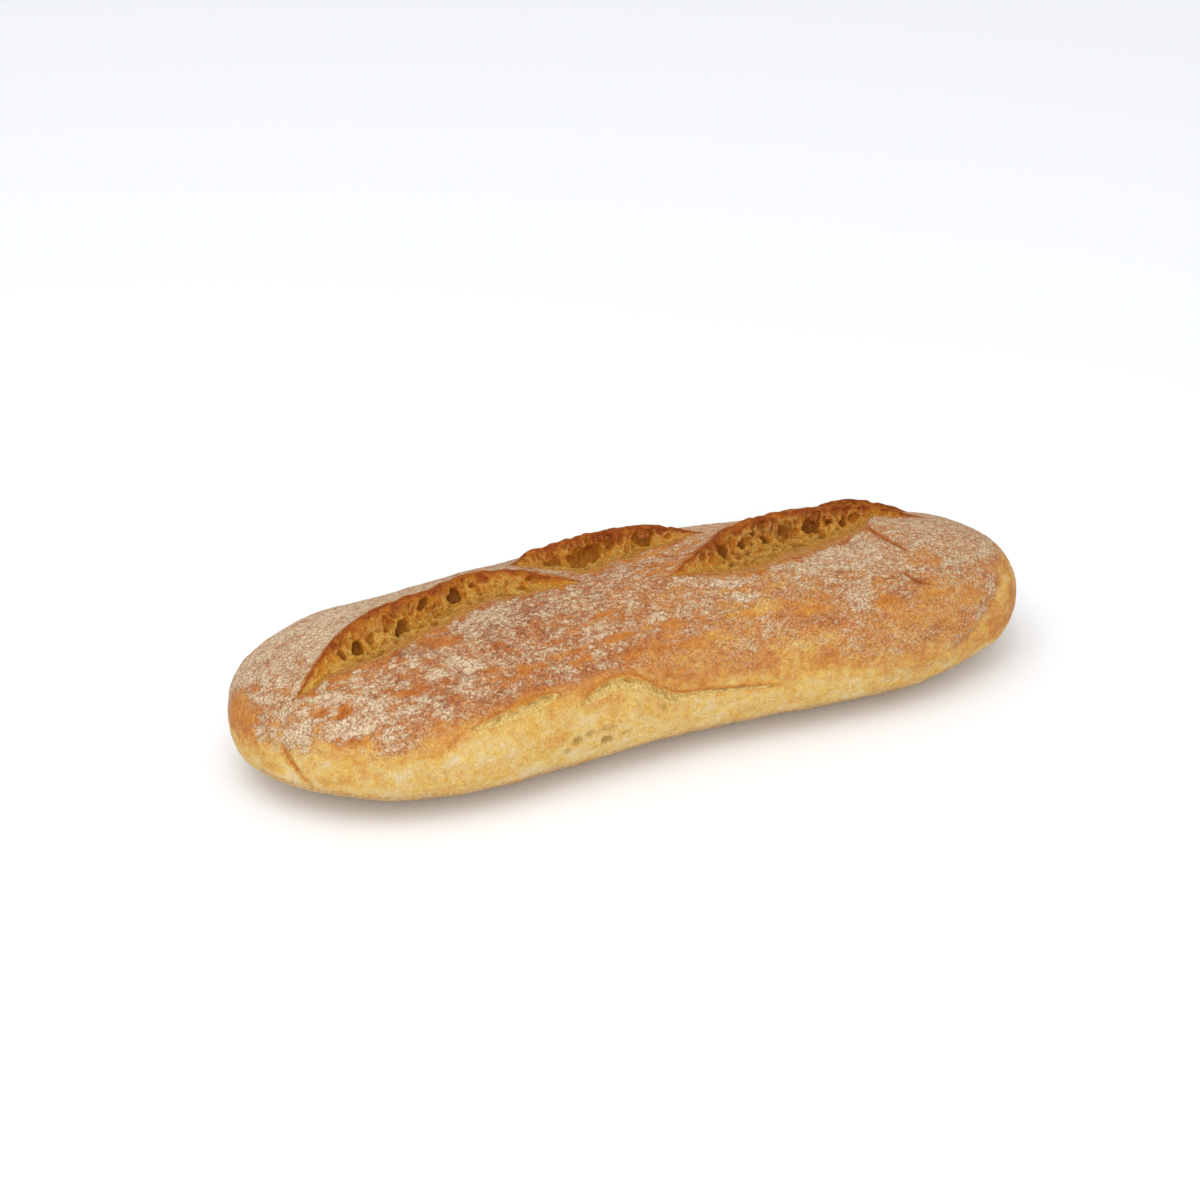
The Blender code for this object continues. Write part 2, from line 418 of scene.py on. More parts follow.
@dataclass
class LoafForm:
    """The plain body of the loaf, and the rows of openings that its skin is drawn around."""

    length: float = 380.0
    width: float = 120.0
    height: float = 71.0
    belly: float = 28.6
    end_fullness: tuple[float, float] = (4.26, 3.74)
    end_roundness: tuple[float, float] = (1.92, 2.26)
    upper_round: float = 2.15
    lower_round: float = 2.80
    undercut: float = 1.06
    taper: float = -0.059
    end_swell: float = 0.087
    waist: float = -0.014
    crest_taper: float = -0.051
    crest_end: float = -0.032
    crest_wave: float = 0.054
    bend: tuple[float, float, float] = (-1.6, 6.3, 2.5)
    ear_back: float = 15.0
    far_row: Row = field(default_factory=lambda: Row((SECOND_SLASH, FOURTH_SLASH)))
    near_row: Row = field(default_factory=lambda: Row((FIRST_SLASH, THIRD_SLASH)))
    side_row: Row = field(default_factory=lambda: Row((LEFT_SPLIT, RIGHT_SPLIT), False, math.radians(1.6)))

    @property
    def rows(self) -> tuple[Row, Row, Row]:
        """The three rows, from the far side to the near side."""
        return self.far_row, self.near_row, self.side_row

    def shrink(self, u: Array) -> Array:
        """How much of its full section the loaf has at u, from -1 at the left end to 1 at the right.

        The plan outline is a superellipse, squarer at the left end: (1 - |u| ** p) ** (1 / q).

        Args:
            u: Places along the loaf.

        Returns:
            Shares from 0 to 1.
        """
        left = u < 0
        fullness = np.where(left, *self.end_fullness)
        roundness = np.where(left, *self.end_roundness)
        return np.clip(1 - np.abs(u) ** fullness, 0, 1) ** (1 / roundness)

    def half_width(self, u: Array) -> Array:
        """Half the width of the loaf at u."""
        wave = 1 + self.taper * u + self.end_swell * u * u + self.waist * np.cos(2 * np.pi * u)
        return self.width / 2 * self.shrink(u) * wave

    def middle_line(self, u: Array) -> Array:
        """Sideways place of the middle of the section at u, before the loaf is centred."""
        bow, skew, wave = self.bend
        return bow * (1 - u * u) + skew * u * (1 - u * u) + wave * np.cos(1.5 * np.pi * u)

    def side_shift(self) -> float:
        """How far the plain body must move along Y to lie with its middle over the origin.

        Returns:
            Millimetres.
        """
        u = np.linspace(-1, 1, 801)
        far = (self.middle_line(u) + self.half_width(u)).max()
        near = (self.middle_line(u) - self.half_width(u)).min()
        return -float(far + near) / 2

    def body_point(self, u: Array, angle: Array) -> Array:
        """Point of the plain body: a superellipse section, flat where it rests.

        Args:
            u: Places along the loaf.
            angle: Angles round the section: 0 is the far side, 90 degrees the top.

        Returns:
            Points in millimetres, not yet centred.
        """
        s = self.shrink(u)
        crest = 1 + self.crest_taper * u + self.crest_end * u * u + self.crest_wave * np.cos(2 * np.pi * u)
        above = np.sin(angle) > 0
        upward = (self.height - self.belly) * s * crest
        rise = np.where(above, upward, self.belly * self.undercut * s ** 0.6)
        power = 2 / np.where(above, self.upper_round, self.lower_round)
        across = np.sign(np.cos(angle)) * np.abs(np.cos(angle)) ** power
        y = self.half_width(u) * across + self.middle_line(u)
        z = self.belly + rise * np.sign(np.sin(angle)) * np.abs(np.sin(angle)) ** power
        x = np.broadcast_to(u * self.length / 2, y.shape)
        return np.stack([x, y, np.maximum(z, 0)], axis=-1)

    def normal(self, u: Array, angle: Array) -> Array:
        """Outward unit normals of the plain body: the cross product of two short steps on it.

        Args:
            u: Places along the loaf.
            angle: Angles round the section.

        Returns:
            Normals of length 1.
        """
        small = 0.004
        ahead = self.body_point(np.minimum(u + small, 1), angle)
        lengthwise = ahead - self.body_point(np.maximum(u - small, -1), angle)
        round_it = self.body_point(u, angle + 4 * small) - self.body_point(u, angle - 4 * small)
        across = np.cross(round_it, lengthwise)
        return across / np.maximum(np.linalg.norm(across, axis=-1, keepdims=True), 1e-9)

    def skin(self, u: Array, angle: Array) -> tuple[Array, Array]:
        """The body with the broad swellings of risen dough along its normals.

        Args:
            u: Places along the loaf.
            angle: Angles round the section.

        Returns:
            Points in millimetres and the body's outward normals.
        """
        plain = self.body_point(u, angle)
        normal = self.normal(u, angle)
        swell = 0.75 * fractal(plain, 40, 11, 2) + 0.40 * fractal(plain, (17, 12, 12), 21, 3)
        swell = swell * (0.12 + 0.88 * smooth_step(plain[..., 2] / 7))
        points = plain + swell[..., None] * normal
        points[..., 2] = np.maximum(points[..., 2], 0)
        return points, normal

    def angle_over(self, x: Array, y: Array) -> Array:
        """Angle round the section, on its upper half, of the skin above the plan place (x, y).

        Args:
            x: Place along the loaf.
            y: Place across it.

        Returns:
            The angle.
        """
        u = x / (self.length / 2)
        across = np.clip((y - self.middle_line(u)) / np.maximum(self.half_width(u), 1.0), -0.98, 0.98)
        return np.arccos(np.sign(across) * np.abs(across) ** (self.upper_round / 2))

    def edge_angles(self, row: Row, u: Array) -> tuple[Array, Array]:
        """Angles of the ridge and of the near edge of a row of openings, with torn, uneven edges.

        Args:
            row: The row of openings.
            u: Places along the loaf.

        Returns:
            The ridge's angle and the near edge's angle at each place, never closer than the gap.
        """
        x = u * self.length / 2
        edges = {}
        for edge in Edge:
            points = []
            for opening in row.openings:
                for place in getattr(opening, edge.value):
                    across = self.angle_over(place[0], place[1]) if row.on_top else math.radians(place[1])
                    points.append((place[0], float(across)))
            edges[edge] = smooth_curve(tuple(points), x)
        for opening in row.openings:
            fade = opening.tip_fade(x, 12)
            tear = 1.1 * fractal(on_axis(x), 8, opening.seed + 20, 4) * fade / 60
            crest = 0.5 * fractal(on_axis(x), 11, opening.seed + 30, 3) * fade / 60
            edges[Edge.NEAR] = edges[Edge.NEAR] + tear
            edges[Edge.RIDGE] = edges[Edge.RIDGE] + crest
        middle = (edges[Edge.NEAR] + edges[Edge.RIDGE]) / 2
        half = np.maximum(edges[Edge.NEAR] - edges[Edge.RIDGE], row.least_gap) / 2
        return middle - half, middle + half

    def ear_rise(self, row: Row, opening: Opening, u: Array, angle: Array, back: float) -> Array:
        """How far an ear lifts the crust behind its ridge: a curve that is steepest at the ridge.

        Args:
            row: The row that the opening is in.
            opening: The slash with the ear.
            u: Places along the loaf, (stations, 1).
            angle: Angles round the section, (stations, lines).
            back: How far behind the ridge the lift ends, in millimetres.

        Returns:
            The lift in millimetres, 0 in front of the ridge.
        """
        ridge, _ = self.edge_angles(row, u)
        lift = opening.lift(u * self.length / 2)
        behind = (ridge - angle) * self.half_width(u)
        return np.where(behind >= 0, lift * np.clip(1 - behind / back, 0, 1) ** 2, 0)

    def opening_share(self, row: Row, u: Array, angle: Array) -> Array:
        """Place across an opening: 0 at the near edge and 1 at the ridge."""
        ridge, near = self.edge_angles(row, u)
        return (near - angle) / (near - ridge)

    def opening_width(self, row: Row, u: Array) -> Array:
        """Width of the row's opening at u, in millimetres."""
        ridge, near = self.edge_angles(row, u)
        return (near - ridge - row.least_gap) * self.half_width(u)


FIRST_SLASH = Opening(
    name="first",
    near=((-169, -27), (-150, -28.5), (-125, -27), (-98, -18), (-72, -8), (-50, -10), (-29, -9)),
    ridge=((-169, -27, 0), (-148, -14, 4), (-122, 2, 5.5), (-97, 9, 5), (-70, 17, 3.8),
           (-52, 7, 2.8), (-41, -4, 1.8), (-29, -9, 0)),
    depth=3.2,
    valley=0.50,
    seed=100,
    holes=((-112, 0.64, 4.0, 4.2, 3.6), (-114.5, 0.60, 1.6, 1.6, 5.2), (-135, 0.66, 2.9, 2.6, 4.0),
           (-128.5, 0.66, 1.6, 1.6, 2.2), (-100, 0.80, 2.4, 2.0, 3.0), (-84, 0.71, 4.4, 2.8, 5.0),
           (-104, 0.46, 1.6, 1.4, 1.8), (-74, 0.77, 1.7, 1.4, 2.2), (-71.5, 0.56, 1.8, 1.3, 2.0),
           (-54.5, 0.60, 2.2, 1.4, 2.2), (-48, 0.80, 5.6, 1.5, 2.8), (-142, 0.62, 1.5, 1.5, 2.4),
           (-119, 0.69, 2.0, 1.9, 2.0), (-94, 0.55, 2.0, 1.8, 1.8)),
)
SECOND_SLASH = Opening(
    name="second",
    near=((-54, 24), (-41, 6.5), (-27, -5), (-8, 0), (15, 7), (41, 19)),
    ridge=((-54, 24, 0), (-46, 22.5, 4.5), (-32, 23, 6.2), (-10, 23, 7), (9, 21.5, 6.5),
           (25, 20, 4), (41, 19, 0)),
    depth=3.6,
    valley=0.56,
    seed=200,
    holes=((-19, 0.71, 8.2, 4.6, 3.8), (12.7, 0.74, 4.8, 3.2, 4.2), (-6, 0.76, 2.4, 2.0, 2.4),
           (-1, 0.48, 2.2, 1.6, 1.8), (23, 0.75, 2.2, 1.6, 2.2), (-36, 0.66, 2.6, 2.2, 2.4)),
)
THIRD_SLASH = Opening(
    name="third",
    near=((7.5, -17.3), (33, -20.6), (49, -22.5), (66, -16), (89, -11), (105, -5), (115, 3),
          (124, 14), (138, 15), (152, 10)),
    ridge=((7.5, -17.3, 0), (27, -8, 4.5), (46, 7, 6), (60, 14, 6.5), (77, 19.5, 6.5),
           (97, 21, 6.5), (113, 21, 6), (134, 22, 3), (152, 10, 0)),
    depth=3.0,
    valley=0.66,
    seed=300,
    holes=((42, 0.79, 4.4, 4.0, 4.2), (54, 0.77, 2.8, 2.6, 3.6), (68, 0.74, 2.8, 2.4, 3.4),
           (93, 0.78, 5.0, 4.0, 4.6), (98.8, 0.88, 2.0, 1.8, 4.0), (111, 0.73, 2.6, 2.0, 2.6),
           (79.5, 0.77, 2.5, 2.4, 3.2), (62, 0.83, 1.9, 1.8, 2.6), (29, 0.84, 2.2, 1.8, 2.2),
           (104, 0.81, 2.0, 1.8, 2.8), (49, 0.60, 1.8, 1.5, 1.6)),
)
FOURTH_SLASH = Opening(
    name="fourth",
    near=((100, 36), (110, 30), (122, 28), (136, 27), (154, 24)),
    ridge=((100, 36, 0), (110, 37, 5), (122, 35.5, 6.2), (136, 32, 4), (154, 24, 0)),
    depth=2.4,
    valley=0.5,
    seed=400,
)
LEFT_SPLIT = Opening(
    name="split_left",
    near=((-101, 161), (-90, 162), (-78, 160), (-66, 158), (-57, 155.5)),
    ridge=((-101, 159.5, 0), (-90, 155.5, 0.8), (-78, 152, 1.2), (-66, 151, 1.1), (-57, 154, 0)),
    depth=0.65,
    valley=0.72,
    seed=500,
    holes=((-88, 0.60, 1.4, 1.1, 1.1), (-82, 0.62, 1.6, 1.2, 1.2), (-73, 0.66, 1.6, 1.3, 1.3),
           (-64, 0.70, 2.0, 1.2, 1.5)),
)
RIGHT_SPLIT = Opening(
    name="split_right",
    near=((-50, 164), (-44, 164), (-36, 162), (-24, 164), (-14, 171), (-6, 178), (8, 176), (24, 178),
          (44, 180)),
    ridge=((-50, 162.5, 0), (-44, 157.5, 0.9), (-37, 154, 1.4), (-28, 154, 1.4), (-18, 160, 1.1),
           (-10, 166.5, 0.9), (-3, 172, 0.4), (8, 173.5, 0.2), (24, 176.5, 0.08), (44, 179, 0)),
    depth=0.65,
    valley=0.72,
    seed=600,
    holes=((-46, 0.62, 1.8, 1.6, 1.6), (-37.5, 0.74, 1.9, 1.4, 1.6), (-25, 0.72, 2.2, 1.5, 1.6),
           (-31, 0.30, 1.3, 1.0, 0.9), (-13.5, 0.60, 2.0, 1.7, 1.8), (-8.5, 0.50, 1.6, 1.8, 1.6)),
)


# ---- the crust ------------------------------------------------------------------------------------


class Spacing(Enum):
    """How the lines between two named lines are spread."""

    EVEN = "even"
    CLOSE_AT_BOTH = "close at both"
    CLOSE_AT_END = "close at end"


@dataclass(frozen=True)
class Patch:
    """A soft ragged spot on the skin, round (x, angle), that adds to a mask."""

    x: float
    angle: float
    along: float
    around: float
    amount: float

    def add(self, x: Array, degrees: Array, ragged: Array) -> Array:
        """What the patch adds: its amount in the middle, fading out with a ragged edge.

        Args:
            x: Places along the loaf.
            degrees: Angles round the section.
            ragged: Noise that frays the edge.

        Returns:
            The amount at each place.
        """
        away = np.hypot((x - self.x) / self.along, (degrees - self.angle) / self.around)
        return self.amount * smooth_step(1.30 - away + 0.38 * ragged)


@dataclass(frozen=True)
class Blot:
    """A soft ragged spot on the skin round a point in space, for the ends, where angles crowd."""

    place: tuple[float, float, float]
    size: tuple[float, float, float]
    amount: float

    def add(self, plain: Array, ragged: Array) -> Array:
        """What the blot adds: its amount in the middle, fading out with a ragged edge.

        Args:
            plain: Points of the plain body.
            ragged: Noise that frays the edge.

        Returns:
            The amount at each point.
        """
        away = np.linalg.norm((plain - self.place) / self.size, axis=-1)
        return self.amount * smooth_step(1.30 - away + 0.42 * ragged)


@dataclass(frozen=True)
class Crease:
    """A fold or thin crack pressed into the skin along a path of (x, angle)."""

    path: tuple
    depth: float
    reach: float
    # bare: how much the groove loses its flour and takes the crack tone, partly real browning, partly
    # painted shade
    bare: float = 0.0

    def press(self, form: LoafForm, skin: Array) -> Array:
        """How far the skin is pressed in: a bell-shaped groove round the path, thin at its ends.

        Args:
            form: The loaf, which turns the path into points.
            skin: Points of the plain body.

        Returns:
            Millimetres inwards.
        """
        steps = np.array(self.path, float)
        path = form.body_point(steps[:, 0] / (form.length / 2), np.radians(steps[:, 1]))
        nearest = np.full(skin.shape[:-1], np.inf)
        along = np.zeros(skin.shape[:-1])
        last = len(path) - 1
        for place, (start, end) in enumerate(zip(path, path[1:])):
            run = end - start
            share = np.clip((skin - start) @ run / (run @ run), 0, 1)
            gap = np.linalg.norm(skin - start - share[..., None] * run, axis=-1)
            along = np.where(gap < nearest, (place + share) / last, along)
            nearest = np.minimum(nearest, gap)
        close = nearest < 5 * self.reach
        wander = np.zeros(nearest.shape)
        wander[close] = 0.55 * self.reach * fractal(skin[close], 6, 95, 3)
        thin = 0.25 + 0.75 * np.sin(np.pi * np.clip(along, 0, 1)) ** 0.5
        return self.depth * thin * np.exp(-((nearest + wander) / (self.reach * thin)) ** 2) * close


@dataclass(frozen=True)
class Pore:
    """A burst bubble in the skin: a small oval dent with a crisp edge."""

    x: float
    angle: float
    along: float
    across: float
    depth: float
    # how far the dent takes on crumb colour that is darkened as painted shade
    colour: float
    through: float = 9.0

    def dent(self, form: LoafForm, skin: Array) -> Array:
        """How far the skin is dented: the upper half of an ellipsoid round the pore.

        Args:
            form: The loaf, which turns the pore's place into a point.
            skin: Points of the plain body.

        Returns:
            0 outside, to 1 in the middle.
        """
        centre = form.body_point(np.array(self.x / (form.length / 2)), np.array(math.radians(self.angle)))
        gap = (skin - centre) / np.array([self.along, self.through, self.across])
        return np.sqrt(np.clip(1.05 - (gap ** 2).sum(axis=-1), 0, 1))


@dataclass
class Crust:
    """The whole outer skin of the loaf, one closed surface with its grooves sunk deep."""

    form: LoafForm
    stations: int = 520
    dive: float = 10.0
    split_dive: float = 4.5
    split_back: float = 5.0
    dusting: float = 0.10
    golden: float = 0.19
    right_end: float = 0.51
    bare_ridge: float = 2.4
    bare_near: float = 2.0
    bare_split: float = 1.2
    ridge_bake: tuple[float, float] = (0.57, 0.17)
    near_bake: float = 0.66
    # tone of the cracks: browned crust, darkened further as painted shade in the groove
    crack_bake_and_shade: float = 0.76
    bands: tuple = (
        (-90, 7, Spacing.EVEN), (-20, 10, Spacing.EVEN), (25, 15, Spacing.CLOSE_AT_END),
        ("far_ridge", 10, Spacing.CLOSE_AT_BOTH), ("far_near", 18, Spacing.CLOSE_AT_BOTH),
        ("near_ridge", 10, Spacing.CLOSE_AT_BOTH), ("near_near", 62, Spacing.EVEN),
        ("side_ridge", 12, Spacing.CLOSE_AT_BOTH), ("side_near", 22, Spacing.EVEN),
        (192, 15, Spacing.EVEN), (220, 7, Spacing.EVEN), (270, 0, Spacing.EVEN),
    )

    def spread(self, count: int, spacing: Spacing) -> Array:
        """Shares of the way from one named line to the next.

        Args:
            count: How many lines.
            spacing: How they are spread.

        Returns:
            Shares from 0 up to below 1.
        """
        t = np.arange(count) / count
        if spacing is Spacing.CLOSE_AT_BOTH:
            return t - 0.75 * np.sin(2 * np.pi * t) / (2 * np.pi)
        if spacing is Spacing.CLOSE_AT_END:
            return 1 - (1 - t) ** 1.6
        return t

    def station_places(self) -> Array:
        """Places u of the rings, evenly spaced along the outline as seen from above.

        Returns:
            Places from -1 to 1.
        """
        u = np.sin(np.linspace(-np.pi / 2, np.pi / 2, 4001))
        step = np.hypot(np.diff(u) * self.form.length / 2, np.diff(self.form.half_width(u)))
        run = np.concatenate([[0], np.cumsum(step)])
        return np.interp(np.linspace(0, run[-1], self.stations + 1), run, u)

    def line_angles(self, u: Array) -> Array:
        """Angle of each line round the section, so that lines run along the edges of the openings.

        Args:
            u: Places along the loaf, (stations,).

        Returns:
            Angles, (stations, lines).
        """
        named = {}
        for name in ("far", "near", "side"):
            ridge, near = self.form.edge_angles(getattr(self.form, name + "_row"), u)
            named[name + "_ridge"], named[name + "_near"] = ridge, near
        columns = []
        for (start, count, spacing), (end, _, _) in zip(self.bands, self.bands[1:]):
            low = named[start] if start in named else np.full_like(u, math.radians(start))
            high = named[end] if end in named else np.full_like(u, math.radians(end))
            columns.append(low[:, None] + (high - low)[:, None] * self.spread(count, spacing))
        return np.concatenate(columns, axis=1)

    def groove(self, row: Row, opening: Opening, u: Array, angle: Array) -> Array:
        """How far the crust rises or sinks because of one opening.

        Behind the ridge the ear falls back to the skin. Between the edges the crust dives well below
        the crumb that fills the opening.

        Args:
            row: The row that the opening is in.
            opening: The opening.
            u: Places along the loaf, (stations, 1).
            angle: Angles round the section, (stations, lines).

        Returns:
            Millimetres, up for a slash and out for a split.
        """
        x = u * self.form.length / 2
        share = self.form.opening_share(row, u, angle)
        inside = (share > 0) & (share < 1) & (x > opening.start) & (x < opening.end)
        dive = self.dive if row.on_top else self.split_dive
        back = self.form.ear_back if row.on_top else self.split_back
        sink = opening.lift(x) * smooth_step((share - 0.9) / 0.1)
        sink = sink - dive * opening.tip_fade(x, 4) * band(share, 0, 1, 0.12, 0.10)
        return np.where(inside, sink, self.form.ear_rise(row, opening, u, angle, back))

    def surface(self) -> tuple[Array, Array, Array, Array]:
        """Points of the crust, the plain body under them, and their places u and angles.

        The crust is the swollen body, plus the openings, plus the relief along the body's normals.

        Returns:
            Points and plain body (stations, lines, 3) in millimetres, u (stations, 1) and angles.
        """
        u = self.station_places()[1:-1]
        angle = self.line_angles(u)
        u = u[:, None]
        plain = self.form.body_point(u, angle)
        points, normal = self.form.skin(u, angle)
        for row in self.form.rows:
            direction = UP if row.on_top else normal
            for opening in row.openings:
                points = points + self.groove(row, opening, u, angle)[..., None] * direction
        points = points + self.relief(plain, np.degrees(angle))[..., None] * normal
        points[..., 2] = np.maximum(points[..., 2], 0)
        return points, plain, u, angle

    def relief(self, plain: Array, degrees: Array) -> Array:
        """How far the skin stands out: dimples and wrinkles, less the folds, cracks and pores.

        The dimples are noise. Each set of wrinkles is crests stretched along them, times a soft mask
        of where they are. Both fade out at the base.

        Args:
            plain: Points of the plain body.
            degrees: Angles round the section.

        Returns:
            Millimetres outwards.
        """
        x = plain[..., 0]
        relief = 0.16 * fractal(plain, 6, 31, 3) + 0.09 * fractal(plain, 2.6, 36, 2)
        middle = smooth_step(1.5 - np.abs(x - 5) / 62) * band(degrees, 84, 158, 14, 16)
        relief = relief + 0.34 * middle * (crests(plain, (19, 4.2, 4.2), 33, 3, 2.2) - 0.3)
        strip, folds = self.stretched_strip(plain)
        relief = relief + 0.34 * strip * (folds - 0.4)
        crinkled = smooth_step(1.4 - np.hypot((x - 68) / 34, (degrees - 119) / 11))
        relief = relief + 0.28 * crinkled * crests(plain, (3.5, 9, 9), 37, 2, 2.2)
        relief = relief * smooth_step(plain[..., 2] / 5)
        for crease in CREASES:
            relief = relief - crease.press(self.form, plain)
        for pore in PORES:
            relief = relief - pore.depth * pore.dent(self.form, plain)
        return relief

    def stretched_strip(self, plain: Array) -> tuple[Array, Array]:
        """Long folds in the strip between the second and third slashes, slanted as they are.

        Args:
            plain: Points of the plain body.

        Returns:
            Where the strip is, 0 to 1, and the folds, 1 on a fold and lower between.
        """
        slant = math.radians(20)
        along = plain[..., 0] * math.cos(slant) + plain[..., 1] * math.sin(slant)
        across = plain[..., 1] * math.cos(slant) - plain[..., 0] * math.sin(slant)
        where = smooth_step(1.5 - np.hypot((along - 12) / 34, (across + 6) / 11))
        unrolled = np.stack([along, across, 0 * across], axis=-1)
        return where, crests(unrolled, (34, 3.4, 9), 33, 2, 2.6)

    def flour_mask(self, plain: Array, angle: Array) -> Array:
        """How thickly flour lies: dense on the top, thinning down the sides, rubbed off in spots.

        It is a thin dusting, plus a haze down to the browned edge, plus the top's flour, which is
        thinner high up than on the slope, plus the floured base edge, the patches and the drifts. The
        folds of the stretched strip and the bare ends take it away.

        Args:
            plain: Points of the plain body.
            angle: Angles round the section.

        Returns:
            Density from 0 to 1.
        """
        x = plain[..., 0]
        degrees = np.degrees(angle)
        ragged = fractal(plain, 6, 91, 3)
        edge = smooth_curve(FLOUR_EDGE, x) + 6 * fractal(plain, 22, 41, 3)
        top = smooth_step((edge - degrees) / 24 + 0.5) * smooth_step((degrees - 4) / 26)
        slope = smooth_step((degrees - 98) / 26)
        brown = smooth_step((smooth_curve(BROWN_EDGE, x) + 6 - degrees) / 22) * (1 - top)
        haze = (0.28 + 0.13 * fractal(plain, (17, 9, 9), 58, 3)) * brown
        upper = smooth_curve(FLOUR_TOP, x)
        laid = top * (upper + (smooth_curve(FLOUR_THICK, x) - upper) * slope)
        base_edge = 0.42 * smooth_step((degrees - 197) / 12)
        far_edge = 0.10 * smooth_step((5 - degrees) / 30)
        flour = self.dusting + haze + laid + (base_edge + far_edge)
        for patch in FLOUR_PATCHES:
            flour = flour + patch.add(x, degrees, ragged)
        strip, folds = self.stretched_strip(plain)
        flour = flour - 0.45 * strip * smooth_step((0.30 - folds) / 0.5)
        loose = (0.30 + 0.70 * slope) * (1 + 0.8 * smooth_step((-x - 95) / 30))
        drifts = 0.16 * fractal(plain, (17, 9, 9), 51, 3) + 0.25 * fractal(plain, (6.5, 3.6, 3.6), 55, 3)
        flour = flour + top * loose * drifts
        return np.clip(flour * (1 - 0.88 * self.bare_ends(plain)), 0, 1)

    def bare_ends(self, plain: Array) -> Array:
        """Where the two ends are free of flour, from 0 to 1."""
        ragged = fractal(plain, 7, 93, 3)
        return np.clip(sum(blot.add(plain, ragged) for blot in BARE_ENDS), 0, 1)

    def bake_mask(self, plain: Array, angle: Array) -> Array:
        """How dark the crust has baked: brown on the top, golden on the side, pale at the base.

        It is the side's golden tone, plus the top's extra brown above the browned edge, less a little
        at the base, plus the patches and noise. The bare ends have a tone of their own.

        Args:
            plain: Points of the plain body.
            angle: Angles round the section.

        Returns:
            Browning from 0, pale, to 1, dark brown.
        """
        x = plain[..., 0]
        degrees = np.degrees(angle)
        ragged = fractal(plain, 7, 92, 3)
        edge = smooth_curve(BROWN_EDGE, x) + 5 * fractal(plain, 24, 61, 3)
        soft = 30 + 16 * smooth_step((-x - 90) / 40)
        brown = smooth_step((edge - degrees) / soft + 0.5) * smooth_step((degrees + 16) / 44)
        pale_base = 0.10 * smooth_step((degrees - 186) / 26)
        bake = self.golden + (smooth_curve(BROWN_TONE, x) - self.golden) * brown - pale_base
        for patch in BAKE_PATCHES:
            bake = bake + patch.add(x, degrees, ragged)
        bake = bake + 0.06 * fractal(plain, 24, 71, 3) + 0.08 * fractal(plain, (9, 5, 5), 75, 2)
        bake = bake + 0.10 * fractal(plain, (12, 8, 8), 77, 2) * smooth_step((degrees - 152) / 16)
        left_end = 0.24 + 0.24 * smooth_step((plain[..., 2] - 17) / 16)
        end_tone = np.where(x < 0, left_end, self.right_end)
        bake = bake + (end_tone - bake) * self.bare_ends(plain)
        for blot in END_BLOTS:
            bake = bake + blot.add(plain, ragged)
        return np.clip(bake, 0, 1)

    def torn_masks(self, u: Array, angle: Array, plain: Array) -> tuple[Array, Array]:
        """Masks of the dark torn ridge and of the bare strip along the near edge of each opening.

        Each is 1 at its edge and falls with the distance from it, frayed by noise, and fades out at
        the opening's tips. The ridge mask also fills the groove.

        Args:
            u: Places along the loaf.
            angle: Angles round the section.
            plain: Points of the plain body.

        Returns:
            The ridge mask and the near-edge mask, each from 0 to 1.
        """
        x = u * self.form.length / 2
        ridge_mask = np.zeros(angle.shape)
        near_mask = np.zeros(angle.shape)
        ragged = fractal(plain, 4.0, 81, 3)
        for row in self.form.rows:
            ridge, near = self.form.edge_angles(row, u)
            behind = (ridge - angle) * self.form.half_width(u)
            before = (angle - near) * self.form.half_width(u)
            bare = self.bare_near if row.on_top else self.bare_split
            dark = smooth_step(1.25 - (behind + 0.9 * ragged) / self.bare_ridge) * (behind > -0.5)
            frayed = smooth_step(1.05 - (before + 3.4 * ragged) / bare) * (before > -0.5)
            for opening in row.openings:
                fade = opening.tip_fade(x, 9)
                ridge_mask = np.maximum(ridge_mask, dark * fade)
                near_mask = np.maximum(near_mask, frayed * fade)
                inside = (behind < 0) & (before < 0) & (x > opening.start) & (x < opening.end)
                ridge_mask = np.where(inside & (fade > 0.3), 1, ridge_mask)
        return ridge_mask, near_mask

    def masks(self, u: Array, angle: Array, plain: Array) -> dict[str, Array]:
        """What the finish reads: flour and browning, changed at torn edges, cracks and pores.

        Torn edges, cracks and pores lose their flour, and edges and cracks are pulled to a browning of
        their own, which in the cracks also holds painted shade.

        Args:
            u: Places along the loaf.
            angle: Angles round the section.
            plain: Points of the plain body.

        Returns:
            The flour, bake and pore masks, each from 0 to 1; the pore mask is crumb tint and painted shade.
        """
        degrees = np.degrees(angle)
        on_top = smooth_step((146 - degrees) / 4)
        flour = self.flour_mask(plain, angle)
        bake = self.bake_mask(plain, angle)
        ridge_mask, near_mask = self.torn_masks(u, angle, plain)
        cracks = np.zeros(angle.shape)
        for crease in CREASES:
            pressed = np.clip(1.3 * crease.press(self.form, plain) / crease.depth, 0, 1)
            cracks = np.maximum(cracks, crease.bare * pressed)
        cracks = np.clip(1.6 * cracks, 0, 1)
        bake = bake + 0.10 * smooth_step((flour - 0.35) / 0.3) * smooth_step((degrees - 30) / 40)
        flour = flour * (1 - ridge_mask) * (1 - 0.9 * near_mask) * (1 - cracks)
        split_tone, extra_tone = self.ridge_bake
        bake = bake + (split_tone + extra_tone * on_top - bake) * ridge_mask
        bake = bake + (self.near_bake - bake) * near_mask * (1 - ridge_mask) * on_top
        # cracks: bare browned crust, darkened further as painted shade inside the groove
        bake = bake + (self.crack_bake_and_shade - bake) * cracks
        # pore mask: crumb colour in the dents, darkened as painted shade
        pores = np.zeros(angle.shape)
        for pore in PORES:
            dent = np.clip(1.5 * pore.dent(self.form, plain), 0, 1)
            pores = np.maximum(pores, dent * pore.colour)
            flour = flour * (1 - dent)
        return {"flour": flour, "bake": bake, "pore": pores}

